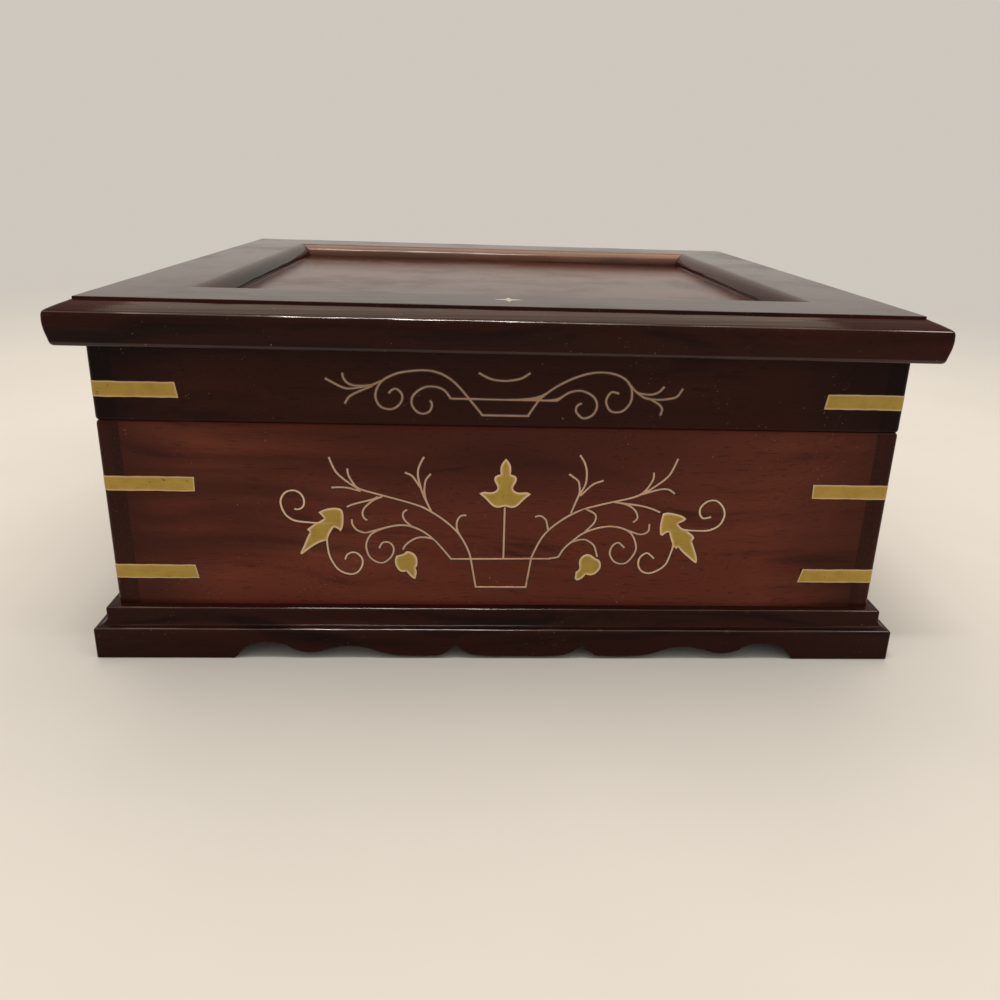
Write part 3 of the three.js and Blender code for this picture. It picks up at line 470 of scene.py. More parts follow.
def sums(tree, operation, *values):
    """The result of one sum over values or sockets."""
    sockets = dict(enumerate(values))
    return node(tree, "ShaderNodeMath", sockets, operation=operation).outputs[0]


def spread(tree, value, low, high, to_low=0.0, to_high=1.0):
    """A value carried smoothly from one range to another and held at its ends."""
    sockets = {"Value": value, "From Min": low, "From Max": high, "To Min": to_low, "To Max": to_high}
    return node(tree, "ShaderNodeMapRange", sockets, interpolation_type="SMOOTHSTEP").outputs[0]


def blend(tree, share, a, b):
    """A colour that goes from a to b as the share goes from 0 to 1."""
    return node(tree, "ShaderNodeMix", {0: share, 6: a, 7: b}, data_type="RGBA").outputs[2]


def noise(tree, vector, scale, detail=2.0, rough=0.5, stretch=(1, 1, 1)):
    """Noise with its scale in waves to the metre, drawn out along the axes of low stretch."""
    moved = node(tree, "ShaderNodeVectorMath", {0: vector, 1: stretch}, operation="MULTIPLY")
    sockets = {"Vector": moved.outputs[0], "Scale": scale, "Detail": detail, "Roughness": rough}
    return node(tree, "ShaderNodeTexNoise", sockets).outputs[0]


def start_group(name, inputs, outputs):
    """An empty shader group, with its inputs' sockets and its output node."""
    tree = bpy.data.node_groups.new(name, "ShaderNodeTree")
    for label, kind, default in inputs:
        socket = tree.interface.new_socket(name=label, in_out="INPUT", socket_type=kind)
        if default is not None:
            socket.default_value = default
    for label, kind in outputs:
        tree.interface.new_socket(name=label, in_out="OUTPUT", socket_type=kind)
    return tree, tree.nodes.new("NodeGroupInput").outputs, tree.nodes.new("NodeGroupOutput")


def wood_figure():
    """Streaks of wood that runs along X: long noise bent by broader noise, broad patches of
    stain, and fine pores. Puts out a colour, a gloss mask and a height."""
    name = "Wood figure"
    if name in bpy.data.node_groups:
        return bpy.data.node_groups[name]
    tree, given, out = start_group(
        name,
        [("Vector", "NodeSocketVector", None), ("Light", "NodeSocketColor", (1, 1, 1, 1)),
         ("Middle", "NodeSocketColor", (0.5, 0.5, 0.5, 1)), ("Dark", "NodeSocketColor", (0, 0, 0, 1)),
         ("Contrast", "NodeSocketFloat", 1.0)],
        [("Color", "NodeSocketColor"), ("Gloss", "NodeSocketFloat"), ("Height", "NodeSocketFloat")],
    )
    vector = given["Vector"]
    bend = noise(tree, vector, 9.0, 2.0, 0.5, (1, 2.2, 2.2))
    bend = sums(tree, "MULTIPLY", sums(tree, "SUBTRACT", bend, 0.5), 0.034)
    shift = node(tree, "ShaderNodeCombineXYZ", {0: 0.0, 1: bend, 2: bend}).outputs[0]
    bent = node(tree, "ShaderNodeVectorMath", {0: vector, 1: shift}, operation="ADD").outputs[0]
    streaks = noise(tree, bent, 5.0, 5.0, 0.58, (1, 17, 17))
    bands = noise(tree, bent, 2.6, 3.0, 0.55, (1, 9, 9))
    patches = noise(tree, vector, 11.0, 2.0, 0.5, (0.6, 1.5, 1.5))
    pores = noise(tree, bent, 130.0, 1.0, 0.5, (1, 15, 15))
    dark = spread(tree, streaks, 0.53, 0.70)
    broad = spread(tree, bands, 0.55, 0.72)
    dark = sums(tree, "MAXIMUM", dark, sums(tree, "MULTIPLY", broad, 0.8))
    dark = sums(tree, "MULTIPLY", dark, given["Contrast"])
    light = spread(tree, patches, 0.42, 0.68)
    light = sums(tree, "MULTIPLY", light, spread(tree, streaks, 0.62, 0.38))
    tone = blend(tree, light, given["Middle"], given["Light"])
    tone = blend(tree, dark, tone, given["Dark"])
    pore = spread(tree, pores, 0.60, 0.72)
    tone = blend(tree, sums(tree, "MULTIPLY", pore, 0.55), tone, given["Dark"])
    tree.links.new(tone, out.inputs["Color"])
    tree.links.new(sums(tree, "MULTIPLY", pore, dark), out.inputs["Gloss"])
    ridges, pits = sums(tree, "MULTIPLY", streaks, 0.35), sums(tree, "MULTIPLY", pore, 0.25)
    tree.links.new(sums(tree, "SUBTRACT", ridges, pits), out.inputs["Height"])
    return tree


def handled_varnish():
    """Hand-brushed varnish: slow waves and finer orange peel as a height, cloudy smears as a
    roughness mask, and pale specks of dust."""
    name = "Handled varnish"
    if name in bpy.data.node_groups:
        return bpy.data.node_groups[name]
    tree, given, out = start_group(
        name,
        [("Vector", "NodeSocketVector", None)],
        [("Height", "NodeSocketFloat"), ("Smear", "NodeSocketFloat"), ("Dust", "NodeSocketFloat")],
    )
    vector = given["Vector"]
    slow = noise(tree, vector, 32.0, 2.0, 0.5)
    peel = noise(tree, vector, 420.0, 2.0, 0.55)
    height = sums(tree, "ADD", sums(tree, "MULTIPLY", slow, 0.8), sums(tree, "MULTIPLY", peel, 0.1))
    smear = spread(tree, noise(tree, vector, 24.0, 4.0, 0.62), 0.42, 0.72)
    specks = spread(tree, noise(tree, vector, 1500.0, 1.0, 0.5), 0.735, 0.79)
    patches = spread(tree, noise(tree, vector, 55.0, 2.0, 0.5), 0.5, 0.66)
    tree.links.new(height, out.inputs["Height"])
    tree.links.new(smear, out.inputs["Smear"])
    tree.links.new(sums(tree, "MULTIPLY", specks, patches), out.inputs["Dust"])
    return tree


def end_grain():
    """Dark end grain with fine flecks and broad rings, where the face looks along the grain."""
    name = "End grain"
    if name in bpy.data.node_groups:
        return bpy.data.node_groups[name]
    tree, given, out = start_group(
        name,
        [("Vector", "NodeSocketVector", None), ("Facing", "NodeSocketFloat", 0.0),
         ("Middle", "NodeSocketColor", (0.5, 0.5, 0.5, 1)), ("Dark", "NodeSocketColor", (0, 0, 0, 1))],
        [("Color", "NodeSocketColor"), ("Mask", "NodeSocketFloat")],
    )
    vector = given["Vector"]
    fleck = spread(tree, noise(tree, vector, 900.0, 3.0, 0.6), 0.35, 0.7)
    ring = spread(tree, noise(tree, vector, 60.0, 3.0, 0.5, (3, 1, 0.4)), 0.35, 0.65)
    tone = blend(tree, sums(tree, "MULTIPLY", fleck, 0.18), given["Dark"], given["Middle"])
    tone = blend(tree, sums(tree, "MULTIPLY", ring, 0.15), tone, given["Middle"])
    tree.links.new(tone, out.inputs["Color"])
    tree.links.new(spread(tree, sums(tree, "ABSOLUTE", given["Facing"]), 0.55, 0.85), out.inputs["Mask"])
    return tree


def worn_arris():
    """Small blotches along the arrises where hands have rubbed the varnish thin."""
    name = "Worn arris"
    if name in bpy.data.node_groups:
        return bpy.data.node_groups[name]
    tree, given, out = start_group(
        name,
        [("Vector", "NodeSocketVector", None), ("Arris", "NodeSocketFloat", 0.0)],
        [("Mask", "NodeSocketFloat")],
    )
    rubbed = spread(tree, noise(tree, given["Vector"], 260.0, 4.0, 0.65), 0.58, 0.7)
    rubbed = sums(tree, "MULTIPLY", sums(tree, "MULTIPLY", rubbed, given["Arris"]), 0.35)
    tree.links.new(rubbed, out.inputs["Mask"])
    return tree


def dull_brass():
    """Brass with clouded patches, brushed scratches and spots of tarnish."""
    name = "Dull brass"
    if name in bpy.data.node_groups:
        return bpy.data.node_groups[name]
    tree, given, out = start_group(
        name,
        [("Vector", "NodeSocketVector", None), ("Face", "NodeSocketColor", (0.5, 0.5, 0.5, 1)),
         ("Clouded", "NodeSocketColor", (0.4, 0.4, 0.4, 1)), ("Bright", "NodeSocketColor", (1, 1, 1, 1))],
        [("Color", "NodeSocketColor"), ("Cloud", "NodeSocketFloat"), ("Spots", "NodeSocketFloat"),
         ("Scratches", "NodeSocketFloat")],
    )
    vector = given["Vector"]
    cloud = spread(tree, noise(tree, vector, 160.0, 4.0, 0.6), 0.35, 0.7)
    spots = spread(tree, noise(tree, vector, 700.0, 3.0, 0.55), 0.66, 0.74)
    scratches = noise(tree, vector, 300.0, 3.0, 0.6, (1, 1, 14))
    tone = blend(tree, sums(tree, "MULTIPLY", cloud, 0.35), given["Face"], given["Clouded"])
    shine = sums(tree, "MULTIPLY", spread(tree, scratches, 0.35, 0.7), 0.25)
    tree.links.new(blend(tree, shine, tone, given["Bright"]), out.inputs["Color"])
    tree.links.new(cloud, out.inputs["Cloud"])
    tree.links.new(spots, out.inputs["Spots"])
    tree.links.new(scratches, out.inputs["Scratches"])
    return tree


def use_group(tree, group, sockets):
    """The outputs of a group placed in a tree with its own values."""
    return node(tree, "ShaderNodeGroup", sockets, node_tree=group).outputs


def start_material(name):
    """A material with a Principled surface, and its texture coordinates."""
    material = bpy.data.materials.new(name)
    material.use_nodes = True
    tree = material.node_tree
    tree.nodes.clear()
    surface = tree.nodes.new("ShaderNodeBsdfPrincipled")
    output = tree.nodes.new("ShaderNodeOutputMaterial")
    tree.links.new(surface.outputs[0], output.inputs["Surface"])
    place = tree.nodes.new("ShaderNodeTexCoord")
    return material, tree, surface, place


def rgba(value, strength=1.0):
    """A colour with its strength changed, held within 1, and full alpha."""
    return (*(min(1.0, strength * channel) for channel in value[:3]), 1.0)


GRAIN_TURNS = {"x": (0.0, 0.0, 0.0), "y": (0.0, 0.0, math.pi / 2)}
# Where the stain starts to darken on its way out from the middle, and where it is darkest
DARK_ENDS = (0.125, 0.172)
# The height from which the middle of the case's upper edge darkens, and how far out from the middle it is
# full and gone
UPPER_DARK_LOW = 0.045
UPPER_DARK_FULL, UPPER_DARK_GONE = 0.03, 0.14
# Between which shares of the case's depth the dust thickens, and how much of it lies elsewhere
DUSTY_FROM, DUSTY_TO = 0.7, 0.82
THIN_DUST = 0.35


def varnished_wood(name, tones, grain, offset, finish, rough=0.16, contrast=1.0,
                   end_axis=None, ends_dark=0.0, dusty=0.0, upper_dark=0.0, ior=VARNISH["flat"]):
    """Varnished wood with its grain along an axis, cut at its own offset from one figure.
    end_axis is the axis that end grain faces, ends_dark how much darker the stain is towards
    the ends of the front, dusty how much more dust lies towards the back, and upper_dark how
    much darker the middle of the case's upper edge is."""
    if name in bpy.data.materials:
        return bpy.data.materials[name]
    material, tree, surface, place = start_material(name)
    where = place.outputs["Object"]
    turned = node(tree, "ShaderNodeMapping", {"Vector": where, "Location": offset,
                                              "Rotation": GRAIN_TURNS[grain]}).outputs[0]
    figure = use_group(tree, wood_figure(), {
        "Vector": turned, "Light": rgba(tones[0]), "Middle": rgba(tones[1]), "Dark": rgba(tones[2]),
        "Contrast": contrast,
    })
    varnish = use_group(tree, handled_varnish(), {"Vector": where})
    tone = figure["Color"]
    split = node(tree, "ShaderNodeSeparateXYZ", {0: where}).outputs
    if ends_dark:
        reach = sums(tree, "ADD", sums(tree, "ABSOLUTE", split[0]),
                     sums(tree, "MULTIPLY", noise(tree, where, 20.0, 3.0), 0.06))
        shade = sums(tree, "MULTIPLY", spread(tree, reach, *DARK_ENDS), ends_dark)
        tone = blend(tree, shade, tone, rgba(tones[2]))
    # Darker towards the middle of the case's upper edge
    if upper_dark:
        high = spread(tree, split[2], UPPER_DARK_LOW, SEAM_Z)
        wide = spread(tree, sums(tree, "ABSOLUTE", split[0]), UPPER_DARK_GONE, UPPER_DARK_FULL)
        shade = sums(tree, "MULTIPLY", sums(tree, "MULTIPLY", high, wide), upper_dark)
        tone = blend(tree, shade, tone, rgba(tones[2]))
    if end_axis is not None:
        facing = node(tree, "ShaderNodeSeparateXYZ", {0: place.outputs["Normal"]}).outputs[end_axis]
        ends = use_group(tree, end_grain(), {
            "Vector": where, "Facing": facing, "Middle": rgba(tones[1]), "Dark": rgba(tones[2]),
        })
        tone = blend(tree, ends["Mask"], tone, ends["Color"])
    arris = node(tree, "ShaderNodeAttribute", None, attribute_name="arris").outputs["Fac"]
    rubbed = use_group(tree, worn_arris(), {"Vector": where, "Arris": arris})["Mask"]
    tone = blend(tree, rubbed, tone, rgba(finish.worn_edge))
    dust = varnish["Dust"]
    if dusty:
        back = spread(tree, split[1], CASE_Y * DUSTY_FROM, CASE_Y * DUSTY_TO)
        amount = sums(tree, "ADD", sums(tree, "MULTIPLY", back, dusty), THIN_DUST)
        dust = sums(tree, "MINIMUM", sums(tree, "MULTIPLY", dust, amount), 1.0)
    else:
        dust = sums(tree, "MULTIPLY", dust, THIN_DUST)
    tone = blend(tree, dust, tone, rgba(finish.dust))
    tree.links.new(tone, surface.inputs["Base Color"])
    gloss = sums(tree, "ADD", sums(tree, "MULTIPLY", varnish["Smear"], 0.1), rough)
    gloss = sums(tree, "ADD", gloss, sums(tree, "MULTIPLY", figure["Gloss"], 0.12))
    tree.links.new(gloss, surface.inputs["Roughness"])
    height = sums(tree, "ADD", varnish["Height"], sums(tree, "MULTIPLY", figure["Height"], 0.14))
    bump = node(tree, "ShaderNodeBump", {"Height": height, "Strength": 0.25, "Distance": 0.3 * MM})
    tree.links.new(bump.outputs[0], surface.inputs["Normal"])
    surface.inputs["IOR"].default_value = ior
    return material


def brass_material(name, finish, face, rim_width, rim_share, rough, thin_face=None):
    """Dull brass: fine brushed scratches, brown spots, and a paler filed rim within the
    rim's width of each edge, found by comparing the face's normal with a rounded one. Where
    the attribute "thin" is set, the metal takes the wire's tone."""
    if name in bpy.data.materials:
        return bpy.data.materials[name]
    material, tree, surface, place = start_material(name)
    where = place.outputs["Object"]
    soft = node(tree, "ShaderNodeBevel", {"Radius": rim_width}, samples=8).outputs[0]
    true = node(tree, "ShaderNodeNewGeometry").outputs["Normal"]
    same = node(tree, "ShaderNodeVectorMath", {0: soft, 1: true}, operation="DOT_PRODUCT").outputs["Value"]
    rim = spread(tree, same, 0.9995, 0.975)
    metal = use_group(tree, dull_brass(), {
        "Vector": where, "Face": rgba(face), "Clouded": rgba(face, 0.72), "Bright": rgba(face, 1.35),
    })
    tone = metal["Color"]
    if thin_face is not None:
        thin = node(tree, "ShaderNodeAttribute", None, attribute_name="thin").outputs["Fac"]
        tone = blend(tree, thin, tone, rgba(thin_face))
    tone = blend(tree, sums(tree, "MULTIPLY", metal["Spots"], 0.75), tone, rgba(finish.brass_tarnish))
    tone = blend(tree, sums(tree, "MULTIPLY", rim, rim_share), tone, rgba(finish.brass_rim))
    tree.links.new(tone, surface.inputs["Base Color"])
    dulled = sums(tree, "ADD", sums(tree, "MULTIPLY", metal["Cloud"], 0.14), rough)
    tree.links.new(dulled, surface.inputs["Roughness"])
    bump = node(tree, "ShaderNodeBump", {"Height": metal["Scratches"], "Strength": 0.12,
                                         "Distance": 0.05 * MM})
    tree.links.new(bump.outputs[0], surface.inputs["Normal"])
    surface.inputs["Metallic"].default_value = 0.85
    return material


def filler_material(finish):
    """Dark, gritty filler."""
    name = "dark filler"
    if name in bpy.data.materials:
        return bpy.data.materials[name]
    material, tree, surface, place = start_material(name)
    grit = noise(tree, place.outputs["Object"], 900.0, 3.0, 0.6)
    tone = blend(tree, spread(tree, grit, 0.4, 0.7), rgba(finish.filler), rgba(finish.filler, 2.4))
    tree.links.new(tone, surface.inputs["Base Color"])
    tree.links.new(spread(tree, grit, 0.3, 0.7, 0.35, 0.55), surface.inputs["Roughness"])
    return material


def velvet_material(finish):
    """Short-pile velvet: patches of brushed nap, tufts as a fine height, and a sheen."""
    name = "red velvet"
    if name in bpy.data.materials:
        return bpy.data.materials[name]
    material, tree, surface, place = start_material(name)
    where = place.outputs["Object"]
    nap = spread(tree, noise(tree, where, 24.0, 3.0, 0.5, (1, 1.7, 1)), 0.3, 0.7)
    tufts = noise(tree, where, 1100.0, 2.0, 0.6)
    tone = blend(tree, nap, rgba(finish.velvet, 0.75), rgba(finish.velvet, 1.3))
    tone = blend(tree, spread(tree, tufts, 0.35, 0.7), tone, rgba(finish.velvet, 0.7))
    tree.links.new(tone, surface.inputs["Base Color"])
    tree.links.new(spread(tree, nap, 0, 1, 0.85, 0.98), surface.inputs["Roughness"])
    height = sums(tree, "ADD", sums(tree, "MULTIPLY", nap, 0.4), tufts)
    bump = node(tree, "ShaderNodeBump", {"Height": height, "Strength": 0.5, "Distance": 0.3 * MM})
    tree.links.new(bump.outputs[0], surface.inputs["Normal"])
    surface.inputs["Sheen Weight"].default_value = 0.3
    surface.inputs["Sheen Roughness"].default_value = 0.35
    surface.inputs["Sheen Tint"].default_value = rgba(finish.velvet_sheen)
    return material


def tones_of(finish, wood, stain=1.0):
    """The light, middle and dark tone of one of the woods, at a share of their depth."""
    named = (getattr(finish, f"{wood}_{depth}") for depth in ("light", "middle", "dark"))
    return [[stain * channel for channel in tone] for tone in named]


# The pieces

class CHEST_OT_boards(bpy.types.Operator):
    """Stain and varnish the boards of the case and the lid."""

    bl_idname = "chest.boards"
    bl_label = "Boards"

    # Where in the wood's figure the front board of each half is cut, and the step to the next
    cuts = {"base": (0.31, 0.0, 0.07), "lid": (0.9, 0.3, 0.41)}
    cut_step = 0.173

    def execute(self, context):
        finish = context.scene.chest_finish
        for half, stain in (("base", finish.base_stain), ("lid", finish.lid_stain)):
            for side in SIDES:
                across = side in ("front", "back")
                tones = tones_of(finish, "board", stain if across else finish.side_stain * stain)
                offset = [value + self.cut_step * SIDES.index(side) for value in self.cuts[half]]
                wood = varnished_wood(
                    f"{half} {side} board wood", tones, "x" if across else "y", offset, finish,
                    contrast=0.85, end_axis=None if across else 1, ends_dark=0.75 if across else 0.0,
                    upper_dark=finish.heartwood if (half, side) == ("base", "front") else 0.0,
                )
                node_name = f"{half}_{side}_board"
                board = merged_copy(node_name, f"{half}_{side}_board_finished", wood)
                eased(board, 0)
                dress(board, half, "board_wood", node_name)
        return {"FINISHED"}


class CHEST_OT_cornice(bpy.types.Operator):
    """Make the four mitred rails of the lid's frame with their cornice."""

    bl_idname = "chest.cornice"
    bl_label = "Lid frame"

    # Shares of the overhang and of the cornice's height, up to the arris and on to the step
    face_shares = (
        (0.78, 0.0), (0.83, 0.012), (0.88, 0.06), (0.92, 0.18), (0.97, 0.34), (1.0, 0.52),
        (0.995, 0.66), (0.985, 0.72), (0.965, 0.766),
    )
    crest_shares = ((0.963, 0.77), (0.917, 0.8))
    shoulder_shares = ((0.885, 0.811), (0.82, 0.832), (0.56, 0.905), (0.33, 0.958))
    # The first and last point of the face's rounded foot
    foot = (6, 14)
    points_along = 181

    def profile(self, sizes):
        """The rail's section and the stretches of it that are varnished in their own way: the
        foot and the crest of the cornice, and the ovolo."""
        step_foot = LID_TOP - sizes.step_height
        height = step_foot - WALL_TOP
        face, crest, shoulder = (
            [(out * CORNICE_OVERHANG, WALL_TOP + up * height) for out, up in shares]
            for shares in (self.face_shares, self.crest_shares, self.shoulder_shares)
        )
        face = curve_through(face, 6)
        step_out = CORNICE_OVERHANG - sizes.step_inset
        flat_end = step_out - sizes.frame_flat
        ovolo_foot = flat_end - sizes.ovolo_width
        rebate = ovolo_foot + sizes.panel_lap
        fillet = sizes.varnish_fillet
        round_centre = (step_out - sizes.step_round, LID_TOP - sizes.step_round)
        section, spans = joined({
            "face": face,
            "crest": straight(*crest, 4),
            "shoulder": curve_through(shoulder, 6),
            "step foot": [(step_out, step_foot)],
            "step": arc(round_centre, (sizes.step_round, sizes.step_round), 0, 90, 6),
            "flat": straight((round_centre[0] - MM, LID_TOP), (flat_end, LID_TOP), 10),
            "ovolo": arc((flat_end, LID_TOP - sizes.ovolo_depth),
                         (sizes.ovolo_width, sizes.ovolo_depth), 90, 180, 22),
            "fillet": arc((ovolo_foot - fillet, PANEL_TOP + fillet), (fillet, fillet * 0.9),
                          0, -90, 6)[1:],
            "rebate": [(ovolo_foot - fillet, PANEL_TOP), (rebate, PANEL_TOP), (rebate, WALL_TOP)],
        })
        crest, ovolo = ((start, end - 1) for start, end in (spans["crest"], spans["ovolo"]))
        return section, self.foot, crest, ovolo

    def execute(self, context):
        sizes, finish = context.scene.chest_mouldings, context.scene.chest_finish
        profile, foot, crest, ovolo = self.profile(sizes)
        # Painted light: paler tones that stand in for the warm light on the back rail's ovolo
        pale = varnished_wood("ovolo wood", tones_of(finish, "ovolo"), "x", (0.7, 0.1, 0.3), finish,
                              rough=0.2, ior=VARNISH["ovolo"])
        for side in SIDES:
            grain = "x" if side in ("front", "back") else "y"
            wood, foot_wood, crest_wood = (
                varnished_wood(
                    f"cornice {side} {stretch}", tones_of(finish, "moulding"), grain,
                    (0.21 + 0.31 * SIDES.index(side), 0.4, 0.2), finish, rough=rough, dusty=1.0,
                    ior=VARNISH[layer],
                )
                for stretch, layer, rough in (
                    ("wood", "flat", 0.1), ("foot", "foot", 0.14), ("crest", "crest", 0.06),
                )
            )
            stretches = [(*foot, foot_wood), (*crest, crest_wood)]
            # Painted light: only the back rail's ovolo takes the paler tones
            if side == "back":
                stretches.append((*ovolo, pale))
            rail = rail_piece(f"cornice_{side}", side, profile, self.points_along, wood, sizes,
                              sizes.cornice_corner, stretches=stretches)
            dress(rail, "lid", "dark_mouldings", f"lid_frame_{side}_rail")
        return {"FINISHED"}


class CHEST_OT_plinth(bpy.types.Operator):
    """Make the four mitred rails of the plinth with their scalloped apron."""

    bl_idname = "chest.plinth"
    bl_label = "Plinth"

    # Shares of half the rail's length and of the ledge's height, from the middle outwards
    apron_shares = (
        (0, 0.07), (0.08, 0.08), (0.125, 0.16), (0.148, 0.36), (0.158, 0.5), (0.168, 0.36),
        (0.19, 0.14), (0.22, 0.08), (0.3, 0.09), (0.345, 0.2), (0.38, 0.36), (0.42, 0.42),
        (0.46, 0.37), (0.5, 0.22), (0.53, 0.2), (0.56, 0.3), (0.585, 0.48), (0.62, 0.55),
        (0.66, 0.5), (0.69, 0.25), (0.705, 0),
    )
    # The first and last point of the shining stretch on the ledge's round and on the bead's
    ledge_crest = (4, 7)
    bead_crest = (5, 8)
    points_along = 401

    def profile(self, sizes):
        """The rail's section, and the stretches of it where the varnish is thick."""
        ledge_z = sizes.ledge_height
        inner = PLINTH_PROJECTION - sizes.apron_thickness
        ledge_centre = (PLINTH_PROJECTION - sizes.ledge_round, ledge_z - sizes.ledge_round)
        bead_centre = (sizes.bead_reach - sizes.bead_round, PLINTH_TOP - sizes.bead_round)
        cove = (PLINTH_PROJECTION - sizes.ledge_round - sizes.bead_reach) * 0.5
        cove_centre = (sizes.bead_reach + 2 * cove, ledge_z + 2 * cove)
        section, spans = joined({
            "shelf": [(PLINTH_INNER, PLINTH_TOP), (PLINTH_INNER, ledge_z), (inner, ledge_z)],
            "apron back": straight((inner, ledge_z - 0.2 * MM), (inner, 0), 4),
            "apron foot": [(inner, 0)],
            "foot": straight((inner + 0.4 * MM, 0), (PLINTH_PROJECTION - 0.4 * MM, 0), 3),
            "apron": straight((PLINTH_PROJECTION, 0.25 * MM),
                              ledge_centre + np.array([sizes.ledge_round, 0]), 8),
            "ledge": arc(ledge_centre, (sizes.ledge_round, sizes.ledge_round), 0, 90, 10),
            "cove": arc(cove_centre, (2 * cove, 2 * cove), 262, 188, 9),
            "bead": arc(bead_centre, (sizes.bead_round, sizes.bead_round), 0, 90, 12),
        })
        ledge, bead = (
            [spans[name][0] + place for place in crest]
            for name, crest in (("ledge", self.ledge_crest), ("bead", self.bead_crest))
        )
        return section, ledge, bead

    def scallop(self, half, shift, sizes):
        """A function that bends heights along a rail of that half length: those below the
        ledge's round are squeezed upwards, in proportion, to a smooth curve through the
        apron's shares, the same to the left and the right of the shifted middle."""
        edge = curve_through(np.array(self.apron_shares) * (half, sizes.ledge_height), 8)
        top = sizes.ledge_height - sizes.ledge_round

        def bend(along, height):
            """The bent heights of points at those places along the rail."""
            low = np.interp(np.abs(along - shift), edge[:, 0], edge[:, 1], right=0)
            low = np.clip(low, 0, None)
            return np.where(height < top, low + height * (top - low) / top, height)

        return bend

    def execute(self, context):
        sizes, finish = context.scene.chest_mouldings, context.scene.chest_finish
        profile, ledge, bead = self.profile(sizes)
        for side in SIDES:
            half = (CASE_X if side in ("front", "back") else CASE_Y) + PLINTH_PROJECTION
            bend = self.scallop(half, sizes.apron_shift if side == "front" else 0.0, sizes)
            grain = "x" if side in ("front", "back") else "y"
            wood, crest_wood = (
                varnished_wood(
                    f"plinth {side} {stretch}", tones_of(finish, "moulding"), grain,
                    (0.63 + 0.27 * SIDES.index(side), 0.1, 0.5), finish, rough=rough,
                    ior=VARNISH[layer],
                )
                for stretch, layer, rough in (("wood", "flat", 0.1), ("crest", "ledge", 0.07))
            )
            rail = rail_piece(f"plinth_{side}", side, profile, self.points_along, wood, sizes,
                              sizes.plinth_corner, bend, [(*ledge, crest_wood), (*bead, crest_wood)])
            dress(rail, "base", "dark_mouldings", f"plinth_{side}_rail")
        return {"FINISHED"}


class CHEST_OT_panel(bpy.types.Operator):
    """Varnish the panel in the lid."""

    bl_idname = "chest.panel"
    bl_label = "Lid panel"

    def execute(self, context):
        finish = context.scene.chest_finish
        tones = tones_of(finish, "board", finish.panel_stain)
        wood = varnished_wood("panel wood", tones, "x", (1.7, 0.2, 0.1), finish, rough=0.14,
                              dusty=1.0, ior=VARNISH["panel"])
        panel = merged_copy("lid_panel", "lid_panel_finished", wood)
        eased(panel, 0.3 * MM)
        dress(panel, "lid", "panel_wood", "lid_panel")
        return {"FINISHED"}


